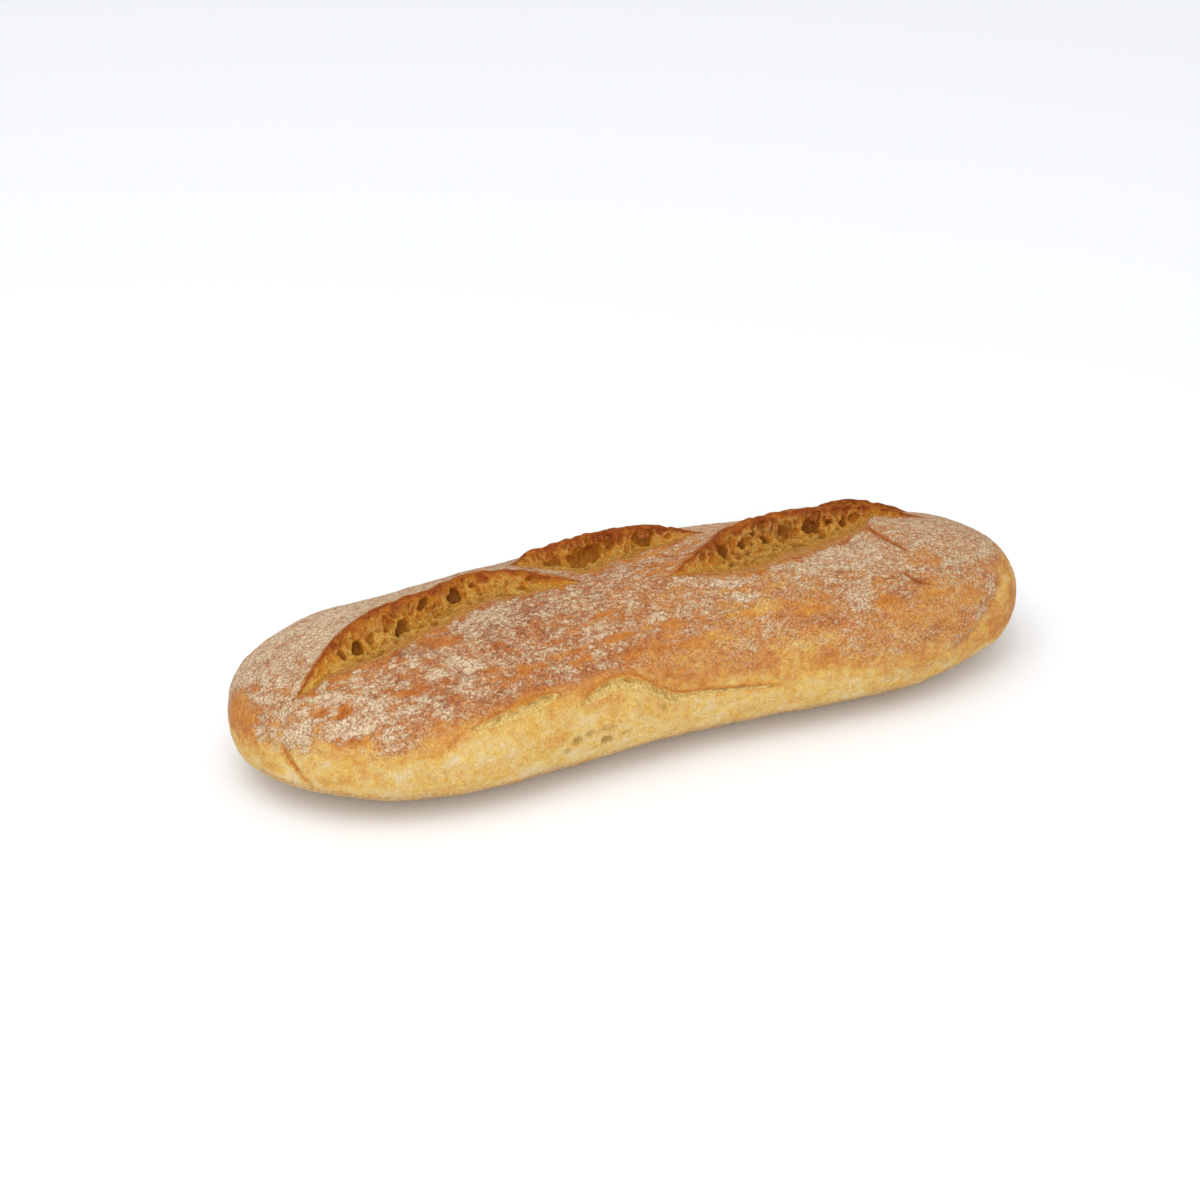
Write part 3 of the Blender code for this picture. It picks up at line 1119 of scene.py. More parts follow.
    def build(self) -> bpy.types.Object:
        """Make the crust's mesh with its masks.

        Returns:
            The crust object, dressed.
        """
        points, plain, u, angle = self.surface()
        step = np.linalg.norm(np.roll(points, -1, axis=1) - points, axis=-1).mean(axis=0) ** 0.6
        share = np.concatenate([[0], np.cumsum(step)[:-1]]) / step.sum()
        ends = self.form.body_point(np.array([-1.0, 1.0]), np.array([0.0, 0.0]))
        shift = np.array([0, self.form.side_shift(), 0])
        crust = closed_tube("crust", points + shift, ends + shift, share, self.masks(u, angle, plain))
        crust.data.materials.append(CrustFinish().material())
        return crust


CREASES = (
    Crease(((-183, 120), (-183, 150), (-178, 176), (-164, 214)), 1.6, 4.5),
    Crease(((-177, 165), (-175, 178), (-171, 188), (-164, 214)), 1.5, 2.3, 0.42),
    Crease(((172, 136), (167, 163), (156, 176), (135, 182)), 1.2, 4.0),
    Crease(((114, 76), (118, 84), (120, 91), (123, 99), (127, 109)), 3.0, 1.15, 0.80),
    Crease(((118, 123), (121, 127), (125, 132), (132, 136)), 2.6, 0.90, 0.80),
    Crease(((107, 188), (122, 184), (140, 182), (155, 175)), 0.9, 1.0, 0.15),
    Crease(((118, 166), (128, 162), (138, 160)), 0.6, 0.9, 0.15),
    Crease(((-126, 182), (-117, 181), (-108, 183)), 0.5, 0.8),
    Crease(((-104, 160), (-110, 166), (-113, 174)), 0.7, 0.9, 0.2),
    Crease(((8, 90), (22, 95), (33, 103)), 1.1, 1.0, 0.5),
    Crease(((-6, 97), (8, 98), (20, 104)), 0.9, 0.9, 0.35),
)
PORES = tuple(Pore(*row) for row in (
    (-52, 182.5, 2.4, 1.6, 1.6, 0.9), (-46, 181, 2.0, 1.3, 1.3, 0.7), (-38, 187.5, 3.0, 2.0, 2.2, 1.0),
    (-37, 180.5, 4.4, 1.5, 1.0, 0.45), (-29, 185.5, 2.4, 1.2, 1.1, 0.5), (-57, 188, 1.8, 1.2, 1.1, 0.8),
    (-44, 192, 1.6, 1.0, 0.8, 0.5), (-10, 178, 1.8, 1.2, 1.0, 0.5),
))
FLOUR_EDGE = ((-185, 172), (-165, 168), (-140, 166), (-110, 156), (-80, 150), (-50, 150), (-20, 145),
              (10, 134), (40, 124), (65, 126), (85, 134), (105, 136), (120, 130), (150, 130),
              (170, 124), (186, 105))
FLOUR_TOP = ((-185, 0.84), (-120, 0.80), (-60, 0.64), (0, 0.58), (60, 0.58), (120, 0.64), (186, 0.68))
FLOUR_THICK = ((-185, 0.64), (-150, 0.64), (-120, 0.56), (-80, 0.48), (-50, 0.44), (-20, 0.44), (20, 0.45),
               (60, 0.47), (90, 0.53), (130, 0.60), (186, 0.60))
BROWN_EDGE = ((-185, 150), (-165, 158), (-130, 162), (-98, 158), (-75, 152), (-50, 156), (-25, 160),
              (0, 170), (30, 174), (60, 174), (90, 180), (120, 184), (150, 178), (170, 150), (186, 120))
BROWN_TONE = ((-185, 0.58), (-130, 0.60), (-90, 0.68), (-50, 0.68), (0, 0.60), (40, 0.50), (80, 0.52),
              (130, 0.52), (170, 0.48))
FLOUR_PATCHES = tuple(Patch(*row) for row in (
    (-161, 138, 4.5, 4, -0.8), (-154, 142, 5, 3, -0.8), (-150, 139, 3, 3, -0.6), (-179, 99, 3, 6, -0.7),
    (-160, 162, 8, 2.5, -0.6), (-149, 160, 6, 2.5, -0.6), (-141, 155, 5, 3, -0.6), (-152, 150, 20, 7, 0.28),
    (-130, 157, 12, 3, 0.2), (-160, 118, 14, 12, 0.2), (-104, 109, 12, 4, -0.35), (-120, 115, 4, 4, -0.5),
    (-111, 118, 5, 2.5, -0.4), (-123, 133, 8, 2.5, -0.55), (-146, 118, 8, 1.6, -0.5),
    (-151, 122.5, 4, 2, -0.4), (-160, 97, 2.5, 3, -0.5), (-142, 115, 6, 1.6, 0.3), (-72, 102, 12, 6, 0.16),
    (-93, 125, 6, 5, 0.2), (-99, 137, 8, 5, 0.28), (-97, 143, 5, 4, 0.2), (-152, 130, 8, 4, 0.2),
    (-142, 138, 8, 3, 0.2), (-46, 140, 6, 2.2, -0.6), (-71, 136, 4, 3, -0.5), (-64, 136, 3, 2, -0.4),
    (-27, 134, 9, 2, -0.55), (-48, 134.2, 8, 1.6, -0.5), (-29, 120, 8, 1.6, -0.4), (-21, 145, 5, 4, -0.45),
    (1, 134.5, 6, 2.5, -0.45), (7, 147, 6, 2.2, -0.35), (-52, 127, 4, 1.4, -0.4), (-78, 138.5, 4, 2, -0.4),
    (-69, 148, 7, 2.2, -0.3), (-36, 123, 6, 1.4, -0.4), (-10, 146, 6, 4, -0.3), (-87, 131, 4, 1.6, -0.35),
    (-3.5, 129, 7, 3.6, 0.45), (7, 139.5, 4.5, 4, 0.45), (-37, 139, 4, 2.6, 0.4), (-48, 127.5, 3.5, 2, 0.3),
    (-98, 122.5, 6, 4, 0.2), (-70, 113, 5, 3, 0.25), (-35, 146.5, 6, 2, 0.3), (33, 116.5, 11, 3.4, 0.48),
    (37, 126, 9, 3.4, 0.50), (15, 111, 7, 2, 0.3), (-19, 129, 4, 2.6, 0.35), (14, 146, 8, 3.6, -0.15),
    (40, 135, 12, 2.4, -0.35), (68, 138, 12, 4, -0.35), (60, 126, 10, 4, 0.15), (88, 146, 6, 6, 0.25),
    (92, 134, 9, 8, 0.30), (104, 140, 8, 3.5, -0.4), (112, 135, 8, 4, 0.15), (126, 141, 9, 3.5, -0.3),
    (88, 108, 26, 12, 0.24), (149, 121, 7, 4, 0.2), (134, 117, 9, 6, -0.25), (164, 150, 4.5, 12, 0.42),
    (154, 166, 6, 8, 0.42), (140, 178.5, 12, 4, 0.40), (112, 190, 34, 7, 0.26), (100, 172, 32, 13, 0.06),
    (-135, 112, 11, 6, -0.48), (28, 138, 24, 11, 0.16), (-58, 102, 12, 5, -0.18), (-99, 107, 9, 4, -0.30),
    (-115, 110, 11, 5, -0.25), (50, 150, 15, 7, 0.10), (44, 141, 3, 9, 0.18), (131, 148, 12, 6, 0.08),
    (-120, 75, 60, 14, 0.10), (69, 155.5, 6, 5, 0.04), (0, 178, 10, 2, 0.22), (-118, 182, 10, 1.6, 0.25),
    (-160, 76, 12, 5, -0.3), (-172, 84, 8, 6, -0.25),
))
BAKE_PATCHES = tuple(Patch(*row) for row in (
    (36, 131, 16, 7, -0.10), (76, 144, 8, 6, 0.10), (69, 154, 7, 7, -0.16), (111, 138, 11, 6, 0.08),
    (-125, 135, 40, 14, 0.05), (-116, 110, 22, 5, 0.12), (-155, 142, 9, 6, 0.10), (-150, 160, 16, 4, 0.12),
    (-40, 147, 22, 5, 0.10), (-75, 147, 20, 4, 0.12), (-110, 190, 60, 14, -0.04), (-20, 190, 60, 12, -0.05),
    (52, 158, 22, 9, -0.13), (112, 188, 34, 8, -0.08), (2, 156, 30, 9, -0.07), (104, 170, 30, 11, -0.10),
    (74, 182, 28, 8, -0.06), (-134, 111, 12, 6, 0.08), (-75, 104, 18, 8, 0.10), (20, 150, 20, 8, -0.10),
    (-60, 100, 80, 10, 0.05),
))
BARE_ENDS = (
    Blot((-188, -9, 36), (9.5, 19, 15), 1.0), Blot((-187, -13, 22), (7, 16, 12), 0.8),
    Blot((187, -16, 37), (12, 22, 18), 1.25), Blot((178, -33, 31), (8, 9, 11), 1.6),
    Blot((167, -41, 26), (10, 7, 10), 1.2), Blot((152, -48, 22), (9, 6, 6), 0.6),
)
END_BLOTS = (
    Blot((-187, -8, 38), (7, 14, 8), 0.12), Blot((-186, -16, 22), (6, 14, 9), -0.08),
    Blot((168, -37, 38), (2.5, 5, 6), -0.04), Blot((136, -52, 18), (12, 6, 7), -0.06),
    Blot((-172, -37, 26), (4, 8, 9), -0.10),
)


# ---- the crumb in the openings -----------------------------------------------------------------------


@dataclass
class CrumbBed:
    """Torn crumb that fills one opening: a baked rim, a valley of holes and webs, and the ear's face."""

    form: LoafForm
    row: Row
    opening: Opening
    pitch: float = 0.34
    lines: int = 110
    under: float = 13.0
    split_under: float = 6.0
    full_width: float = 25.0
    cell: tuple[float, float, float] = (6.0, 7.5, 6.0)
    split_cell: float = 0.55
    # depth at which the painted shade of a hole is full
    hole_shade_depth: float = 3.4
    lit_floor: float = 0.45

    def shares(self) -> Array:
        """Places across the opening, from under the near edge to inside the ear."""
        t = np.linspace(0, 1, self.lines)
        return -0.04 + 1.055 * (t + 0.05 * np.sin(2 * np.pi * t))

    def profile(self, depth: Array, lift: Array) -> Array:
        """Height of the crumb against the skin: rim, valley, face and crest, as one smooth curve.

        Args:
            depth: Depth of the valley at each station, (stations, 1).
            lift: Lift of the ear at each station, (stations, 1).

        Returns:
            Heights in millimetres, (stations, lines).
        """
        share = self.shares()
        low_at, rest = self.opening.valley, 1 - self.opening.valley
        low = smooth_curve(((-0.05, 0.16), (0.0, 0.09), (0.28 * low_at, 0.17), (0.64 * low_at, 0.56),
                            (low_at, 1.0), (low_at + 0.40 * rest, 0.70), (low_at + 0.75 * rest, 0.16),
                            (1.02, 0.0)), share)
        high = smooth_curve(((-0.05, 0), (low_at, 0), (low_at + 0.30 * rest, 0.10),
                             (low_at + 0.60 * rest, 0.48), (low_at + 0.85 * rest, 0.90), (0.985, 1.0),
                             (1.02, 0.86)), share)
        if self.row.on_top:
            return -0.45 - low[None, :] * depth + high[None, :] * lift
        flush = smooth_curve(((-0.05, -0.45), (0.0, -0.04), (0.03, 0.03), (0.12, 0.02), (0.30, 0.0)), share)
        low = smooth_curve(((0.10, 0.0), (0.5 * low_at, 0.30), (low_at, 1.0), (low_at + 0.6 * rest, 0.55),
                            (1.02, 0.1)), share)
        return flush[None, :] - low[None, :] * depth + high[None, :] * lift

    def cavities(self, place: Array, cell: Array, seed: int) -> tuple[Array, Array]:
        """Round cavities of burst bubbles: half spheres with crisp rims, in scattered sizes.

        Args:
            place: Places on the bed in millimetres.
            cell: Width of a lattice cell on each axis.
            seed: Which scatter.

        Returns:
            Depth in millimetres, and the thin walls between neighbouring cavities, 0 to 1.
        """
        near, second, own = bubbles(place, cell, seed)
        radius = 0.30 + 0.42 * own
        depth = np.sqrt(np.clip(1 - (near / radius) ** 2, 0, 1)) * radius * min(cell)
        return depth, smooth_step(1 - (second - near) / 0.22)

    def sunk_holes(self, base: Array, bent: Array, flat: Array, share: Array) -> tuple[Array, Array]:
        """The opening's own large holes: half ellipsoids with uneven rims, the deepest one winning.

        Args:
            base: Points of the smooth bed.
            bent: Unrolled places, pulled about by noise.
            flat: Unrolled places.
            share: Places across the opening.

        Returns:
            Depth in millimetres, and how much of a wide hole's lit floor each point is, 0 to 1.
        """
        hole = np.zeros(share.shape)
        lit = np.zeros(share.shape)
        for x, across, along, around, depth in self.opening.holes:
            centre = np.argmin(np.abs(flat[:, 0, 0] - x))
            line = np.argmin(np.abs(share[centre] - across))
            gap = bent - bent[centre, line]
            away = np.hypot(gap[..., 0] / along, gap[..., 1] / around)
            away = away + 0.12 * fractal(base, 2.4, self.opening.seed + 8, 2)
            inside = np.sqrt(np.clip(1 - away ** 2, 0, 1))
            hole = np.maximum(hole, depth * inside)
            lit = np.maximum(lit, inside * smooth_step((along * around - 20) / 15))
        return hole, lit

    def tear(self, base: Array, flat: Array, share: Array, wide: Array) -> tuple[Array, Array, Array]:
        """Relief of the torn crumb: bubbles, webs stretched across the tear, holes and grain.

        Bubbles of three sizes and the opening's own holes are sunk into the bed. Webs stand up where
        two bubbles meet and along strings that cross the tear. Noise of four sizes roughens it all.

        Args:
            base: Points of the smooth bed.
            flat: Places unrolled on the bed, in millimetres.
            share: Places across the opening, (stations, lines).
            wide: Width of the opening against a full one, (stations, 1).

        Returns:
            The relief in millimetres, outwards, the painted shade of the holes, which grows with their
            depth and is less on the lit floor of a wide one, and how much of a web it is, both 0 to 1.
        """
        seed = self.opening.seed
        low_at = self.opening.valley
        cell = np.array(self.cell) * (1.0 if self.row.on_top else self.split_cell)
        crumb = band(share, 0.16 * low_at, 0.985, 0.42 * low_at, 0.10)
        rim = smooth_step((0.55 * low_at - share) / (0.4 * low_at))
        ear = smooth_step((share - low_at - 0.5 * (1 - low_at)) / 0.16)
        size = np.clip(wide, 0.12, 1)
        warp = np.stack([fractal(base, 5.5, seed + 41, 2), fractal(base, 5.5, seed + 44, 2), 0 * share], -1)
        bent = flat + 1.7 * warp
        patchy = 0.55 + 0.45 * fractal(base, 11, seed + 47, 2)
        big, walls = self.cavities(bent, cell, seed + 1)
        middle, thin = self.cavities(bent + 31, cell * 0.48, seed + 2)
        tiny, _ = self.cavities(bent + 57, cell * 0.23, seed + 3)
        hole, lit = self.sunk_holes(base, bent, flat, share)
        strings = np.clip(crests(bent, (1.9, 9.0, 4.0), seed + 6, 2, 2.4), 0, 1)
        pits = 0.62 * big * patchy * crumb * (1 - 0.7 * ear) + 0.70 * middle * crumb * (1 - 0.45 * ear)
        pits = np.maximum(size * pits, hole * np.clip(size * 1.4, 0, 1))
        pits = pits + size * 0.55 * tiny * (0.3 + 0.7 * crumb)
        web = np.clip(0.6 * walls * (1 - ear) + 0.5 * thin + 0.55 * strings * crumb * (1 - 0.5 * ear), 0, 1)
        relief = -pits + 0.40 * web * crumb * size
        relief += 0.30 * fractal(base, 2.0, seed + 9, 3) * (0.5 + 0.7 * crumb + 1.1 * ear)
        relief += 0.55 * fractal(base, 9, seed + 12, 2) * crumb * size
        relief += 0.42 * fractal(base, (3.4, 2.2, 2.2), seed + 15, 3) * rim * size
        # painted shade: darker the deeper a point lies in a hole, less on the lit floor of a wide one
        inside = np.clip(pits / self.hole_shade_depth, 0, 1) * (1 - self.lit_floor * lit)
        return relief, inside, web * crumb * smooth_step(1 - hole)

    def lay_out(self) -> dict[str, Array]:
        """The smooth bed before it is torn: its grid, its normals and its places.

        It is the skin, with any ear that another slash raises there, plus the profile's height. The
        unrolled places are x and the distance across the bed from its middle line.

        Returns:
            Named arrays: base, normal, out, flat, share, wide, fade, u, ridge and near.
        """
        opening = self.opening
        count = int((opening.end - opening.start) / self.pitch)
        x = np.linspace(opening.start, opening.end, count + 1)[1:-1][:, None]
        u = x / (self.form.length / 2)
        ridge, near = self.form.edge_angles(self.row, u)
        share = np.broadcast_to(self.shares(), (len(x), self.lines))
        angle = near - share * (near - ridge)
        skin, out = self.form.skin(u, angle)
        wide = self.form.opening_width(self.row, u) / self.full_width
        if self.row.on_top:
            out = np.broadcast_to(UP, skin.shape)
            for row in (self.form.far_row, self.form.near_row):
                for other in row.openings:
                    if other is not opening:
                        rise = self.form.ear_rise(row, other, u, angle, self.form.ear_back)
                        skin = skin + rise[..., None] * out
        depth = opening.depth * (np.clip(wide, 0, 1.15) if self.row.on_top else opening.tip_fade(x, 8))
        fade = opening.tip_fade(x, 5)
        height = self.profile(depth, opening.lift(x)) * fade - 1.3 * (1 - fade)
        base = skin + height[..., None] * out
        normal = np.cross(np.gradient(base, axis=0), np.gradient(base, axis=1))
        normal /= np.maximum(np.linalg.norm(normal, axis=-1, keepdims=True), 1e-9)
        normal = normal * np.sign((normal * out).sum(axis=-1).mean())
        run = np.linalg.norm(np.diff(base, axis=1), axis=-1)
        unrolled = np.concatenate([np.zeros((len(x), 1)), np.cumsum(run, axis=1)], axis=1)
        unrolled = unrolled - unrolled[:, self.lines // 2][:, None]
        flat = np.stack([np.broadcast_to(x, share.shape), unrolled, 0 * share], axis=-1)
        wide = wide if self.row.on_top else np.minimum(wide * 2.6, 0.55)
        return {"base": base, "normal": normal, "out": out, "flat": flat, "share": share,
                "wide": wide, "fade": fade, "u": u, "ridge": ridge, "near": near}

    def build(self) -> bpy.types.Object:
        """Make the bed's mesh with its masks: the torn top, closed by three lines well below it.

        Returns:
            The bed object, dressed.
        """
        bed = self.lay_out()
        share, fade = bed["share"], bed["fade"]
        relief, inside, web = self.tear(bed["base"], bed["flat"], share, bed["wide"])
        hold = band(share, -0.04, 1.01, 0.07, 0.04)
        top = bed["base"] + (relief * fade * (0.15 + 0.85 * hold))[..., None] * bed["normal"]
        angle_low = bed["near"] - np.array([0.92, 0.5, 0.08]) * (bed["near"] - bed["ridge"])
        drop = self.under if self.row.on_top else self.split_under
        below = self.form.body_point(bed["u"], angle_low)
        below = below - drop * (0.2 + 0.8 * fade[..., None]) * bed["out"][:, [-1, self.lines // 2, 0]]
        points = np.concatenate([top, below], axis=1)
        edge = np.full((len(share), 3), 0.5)
        masks = {
            "across": np.concatenate([share, edge], axis=1),
            # hole: the painted shade of the holes
            "hole": np.concatenate([inside, 2 * edge], axis=1),
            "web": np.concatenate([web, 0 * edge], axis=1),
        }
        tips = np.stack([points[0].mean(axis=0), points[-1].mean(axis=0)])
        share_map = np.linspace(0, 1, self.lines + 4)[:-1]
        shift = np.array([0, self.form.side_shift(), 0])
        masks = {key: value[:, ::-1] for key, value in masks.items()}
        name = "crumb_" + self.opening.name
        made = closed_tube(name, points[:, ::-1] + shift, tips + shift, share_map, masks)
        finish = SlashCrumb() if self.row.on_top else SplitCrumb()
        made.data.materials.append(finish.material())
        return made


# ---- finishes ---------------------------------------------------------------------------------------


class Sum(Enum):
    """The kinds of arithmetic that the finishes use."""

    ADD = "ADD"
    LESS = "SUBTRACT"
    TIMES = "MULTIPLY"
    TIMES_PLUS = "MULTIPLY_ADD"
    UNSIGNED = "ABSOLUTE"


class Blend(Enum):
    """How one colour is laid over another."""

    COVER = "MIX"
    TINT = "MULTIPLY"


class Socket(Enum):
    """The kinds of socket that a group has."""

    VECTOR = "NodeSocketVector"
    VALUE = "NodeSocketFloat"
    COLOUR = "NodeSocketColor"


@dataclass
class NodeDesk:
    """Short ways to add nodes and wires to one node tree."""

    tree: bpy.types.NodeTree

    def node(self, kind: str, **settings: object) -> bpy.types.Node:
        """Add a node and set its named options.

        Args:
            kind: The node's type.
            **settings: Attributes to set on it.

        Returns:
            The new node.
        """
        made = self.tree.nodes.new(kind)
        for key, value in settings.items():
            setattr(made, key, value)
        return made

    def wire(self, source: Value | Paint, target: Port) -> None:
        """Join a socket to another, or set the target to a plain value.

        Args:
            source: A socket or a value.
            target: The input that takes it.
        """
        if isinstance(source, Port):
            self.tree.links.new(source, target)
        else:
            target.default_value = source

    def sum(self, kind: Sum, *values: Value) -> Port:
        """One step of arithmetic on sockets or numbers.

        Args:
            kind: Which step.
            *values: Its inputs.

        Returns:
            The result's socket.
        """
        made = self.node("ShaderNodeMath", operation=kind.value)
        for value, target in zip(values, made.inputs):
            self.wire(value, target)
        return made.outputs[0]

    def times(self, first: Value, second: Value) -> Port:
        """The product of two sockets or numbers."""
        return self.sum(Sum.TIMES, first, second)

    def line(self, value: Value, slope: Value, start: Value) -> Port:
        """A value times a slope, plus a start."""
        return self.sum(Sum.TIMES_PLUS, value, slope, start)

    def weigh(self, *parts: tuple) -> Port:
        """A weighted sum.

        Args:
            *parts: (value, weight) pairs, at least one.

        Returns:
            The sum's socket.
        """
        (value, weight), *rest = parts
        total = self.times(value, weight)
        for value, weight in rest:
            total = self.line(value, weight, total)
        return total

    def swing(self, vector: Port, *noise: float) -> Port:
        """A noise texture's value, moved to swing either side of 0."""
        return self.sum(Sum.LESS, self.noise(vector, *noise), 0.5)

    def squeeze(self, vector: Port, share: float, turn: float = 0.0) -> Port:
        """Places squeezed along X, so that a pattern on them is drawn out along the loaf.

        Args:
            vector: The places.
            share: What is left of X.
            turn: Turn about Z, in degrees.

        Returns:
            The new places' socket.
        """
        made = self.node("ShaderNodeMapping")
        made.inputs["Scale"].default_value = (share, 1.0, 1.0)
        made.inputs["Rotation"].default_value = (0.0, 0.0, math.radians(turn))
        self.wire(vector, made.inputs["Vector"])
        return made.outputs[0]

    def noise(self, vector: Port, scale: float, detail: float = 3.0, roughness: float = 0.55,
              distortion: float = 0.0) -> Port:
        """A noise texture's value.

        Args:
            vector: Where it is read.
            scale: Bumps to a metre.
            detail: Layers of finer noise.
            roughness: How strong the finer layers are.
            distortion: How far it is pulled about.

        Returns:
            The value's socket.
        """
        made = self.node("ShaderNodeTexNoise")
        self.wire(vector, made.inputs["Vector"])
        made.inputs["Scale"].default_value = scale
        made.inputs["Detail"].default_value = detail
        made.inputs["Roughness"].default_value = roughness
        made.inputs["Distortion"].default_value = distortion
        return made.outputs["Fac"]

    def step(self, value: Value, low: Value, high: Value) -> Port:
        """A smooth rise from 0 where a value is low to 1 where it is high.

        Args:
            value: The value.
            low: Where the rise begins.
            high: Where it ends.

        Returns:
            The result's socket.
        """
        made = self.node("ShaderNodeMapRange", interpolation_type="SMOOTHSTEP")
        self.wire(value, made.inputs["Value"])
        self.wire(low, made.inputs["From Min"])
        self.wire(high, made.inputs["From Max"])
        return made.outputs["Result"]

    def ramp(self, value: Value, stops: tuple) -> Port:
        """A colour read from stops of (place, colour).

        Args:
            value: The place on the ramp.
            stops: The stops, in order.

        Returns:
            The colour's socket.
        """
        made = self.node("ShaderNodeValToRGB")
        elements = made.color_ramp.elements
        while len(elements) < len(stops):
            elements.new(0.5)
        for element, (place, colour) in zip(elements, stops):
            element.position = place
            element.color = (*colour, 1.0)
        self.wire(value, made.inputs["Fac"])
        return made.outputs["Color"]

    def mix(self, factor: Value, first: Paint, second: Paint, blend: Blend = Blend.COVER) -> Port:
        """Two colours mixed by a factor.

        Args:
            factor: 0 gives the first, 1 the second.
            first: A colour or a socket.
            second: A colour or a socket.
            blend: How they mix.

        Returns:
            The mixed colour's socket.
        """
        made = self.node("ShaderNodeMix", data_type="RGBA", blend_type=blend.value, clamp_factor=True)
        self.wire(factor, made.inputs["Factor"])
        colours = [socket for socket in made.inputs if socket.type == "RGBA"]
        for colour, target in zip((first, second), colours):
            self.wire((*colour, 1.0) if isinstance(colour, tuple) else colour, target)
        return [socket for socket in made.outputs if socket.type == "RGBA"][0]

    def attribute(self, name: str) -> Port:
        """The value of one of the mesh's masks."""
        return self.node("ShaderNodeAttribute", attribute_name=name).outputs["Fac"]

    def group(self, tree: bpy.types.NodeTree, **inputs: Value) -> bpy.types.Node:
        """Put a node group in and feed its named inputs.

        Args:
            tree: The group.
            **inputs: A value or a socket for each named input.

        Returns:
            The group's node.
        """
        made = self.node("ShaderNodeGroup", node_tree=tree)
        for name, value in inputs.items():
            self.wire(value, made.inputs[name])
        return made

    def dress(self, shader: bpy.types.Node, colour: Paint, roughness: Value, height: Port,
              bump: tuple[float, float]) -> None:
        """Feed a baked, matt surface's shader.

        Args:
            shader: The Principled shader.
            colour: Its colour.
            roughness: Its roughness.
            height: Height of its fine relief.
            bump: Strength of the relief and its depth in millimetres.
        """
        self.wire(colour, shader.inputs["Base Color"])
        self.wire(roughness, shader.inputs["Roughness"])
        shader.inputs["Specular IOR Level"].default_value = BAKED_GLOSS
        relief = self.node("ShaderNodeBump")
        relief.inputs["Strength"].default_value = bump[0]
        relief.inputs["Distance"].default_value = bump[1] * MM
        self.wire(height, relief.inputs["Height"])
        self.wire(relief.outputs["Normal"], shader.inputs["Normal"])


def open_group(name: str, inputs: tuple,
               outputs: tuple) -> tuple[bpy.types.NodeTree, NodeDesk, bpy.types.Node, bpy.types.Node]:
    """Start a shader node group with named sockets.

    Args:
        name: The group's name.
        inputs: (name, socket, default or None) for each input.
        outputs: (name, socket) for each output.

    Returns:
        The tree, its desk, and its input and output nodes.
    """
    tree = bpy.data.node_groups.new(name, "ShaderNodeTree")
    for label, kind, default in inputs:
        socket = tree.interface.new_socket(name=label, in_out="INPUT", socket_type=kind.value)
        if default is not None:
            socket.default_value = default
    for label, kind in outputs:
        tree.interface.new_socket(name=label, in_out="OUTPUT", socket_type=kind.value)
    desk = NodeDesk(tree)
    return tree, desk, desk.node("NodeGroupInput"), desk.node("NodeGroupOutput")


@cache
def flour_group() -> bpy.types.NodeTree:
    """Group: flour dust in grains and drifts, cracked into islands where the dough stretched.

    The flour's level is a sum of three noises, in clumps where it is thick and in dust where it is
    thin. It covers the crust where that is above a level that falls as the density rises.

    Returns:
        The group's tree.
    """
    tree, desk, given, result = open_group(
        "flour dust",
        (("Vector", Socket.VECTOR, None), ("Density", Socket.VALUE, 0.5), ("Softness", Socket.VALUE, 0.05)),
        (("Haze", Socket.VALUE), ("Cover", Socket.VALUE), ("Speck", Socket.VALUE),
         ("Crack", Socket.VALUE), ("Height", Socket.VALUE)))
    vector, density, softness = (given.outputs[name] for name in ("Vector", "Density", "Softness"))
    long_way = desk.squeeze(vector, 0.68)
    grain = desk.noise(vector, 900, 2.0, 0.6)
    drift = desk.noise(long_way, 620, 3.0, 0.60, 0.3)
    cloud = desk.noise(long_way, 260, 2.0, 0.6, 0.4)
    pull = desk.node("ShaderNodeTexNoise")
    pull.inputs["Scale"].default_value = 300.0
    desk.wire(vector, pull.inputs["Vector"])
    bend = desk.node("ShaderNodeVectorMath", operation="MULTIPLY_ADD")
    bend.inputs[1].default_value = (3.5 * MM, 3.5 * MM, 3.5 * MM)
    desk.wire(pull.outputs["Color"], bend.inputs[0])
    desk.wire(vector, bend.inputs[2])
    islands = desk.node("ShaderNodeTexVoronoi", feature="DISTANCE_TO_EDGE")
    islands.inputs["Scale"].default_value = 340.0
    desk.wire(desk.squeeze(bend.outputs[0], 0.62), islands.inputs["Vector"])
    crack = desk.sum(Sum.LESS, 1.0, desk.step(islands.outputs["Distance"], 0.02, 0.13))
    clumped = desk.weigh((cloud, 0.34), (drift, 0.48), (grain, 0.18), (crack, -0.065))
    dusted = desk.weigh((cloud, 0.26), (drift, 0.38), (grain, 0.36))
    thick = desk.step(density, 0.22, 0.62)
    mixed = desk.line(desk.sum(Sum.LESS, clumped, dusted), thick, dusted)
    level = desk.line(density, -0.25, 0.665)
    cover = desk.step(mixed, desk.sum(Sum.LESS, level, softness), desk.sum(Sum.ADD, level, softness))
    film = desk.line(mixed, 1.6, desk.line(density, 1.25, -0.93))
    desk.wire(desk.step(film, 0.0, 1.0), result.inputs["Haze"])
    desk.wire(desk.times(cover, desk.line(thick, 0.55, 0.45)), result.inputs["Cover"])
    desk.wire(desk.step(desk.noise(vector, 1050, 2.0, 0.75), 0.34, 0.64), result.inputs["Speck"])
    desk.wire(desk.times(crack, thick), result.inputs["Crack"])
    desk.wire(desk.times(cover, desk.line(grain, 0.8, 0.4)), result.inputs["Height"])
    return tree


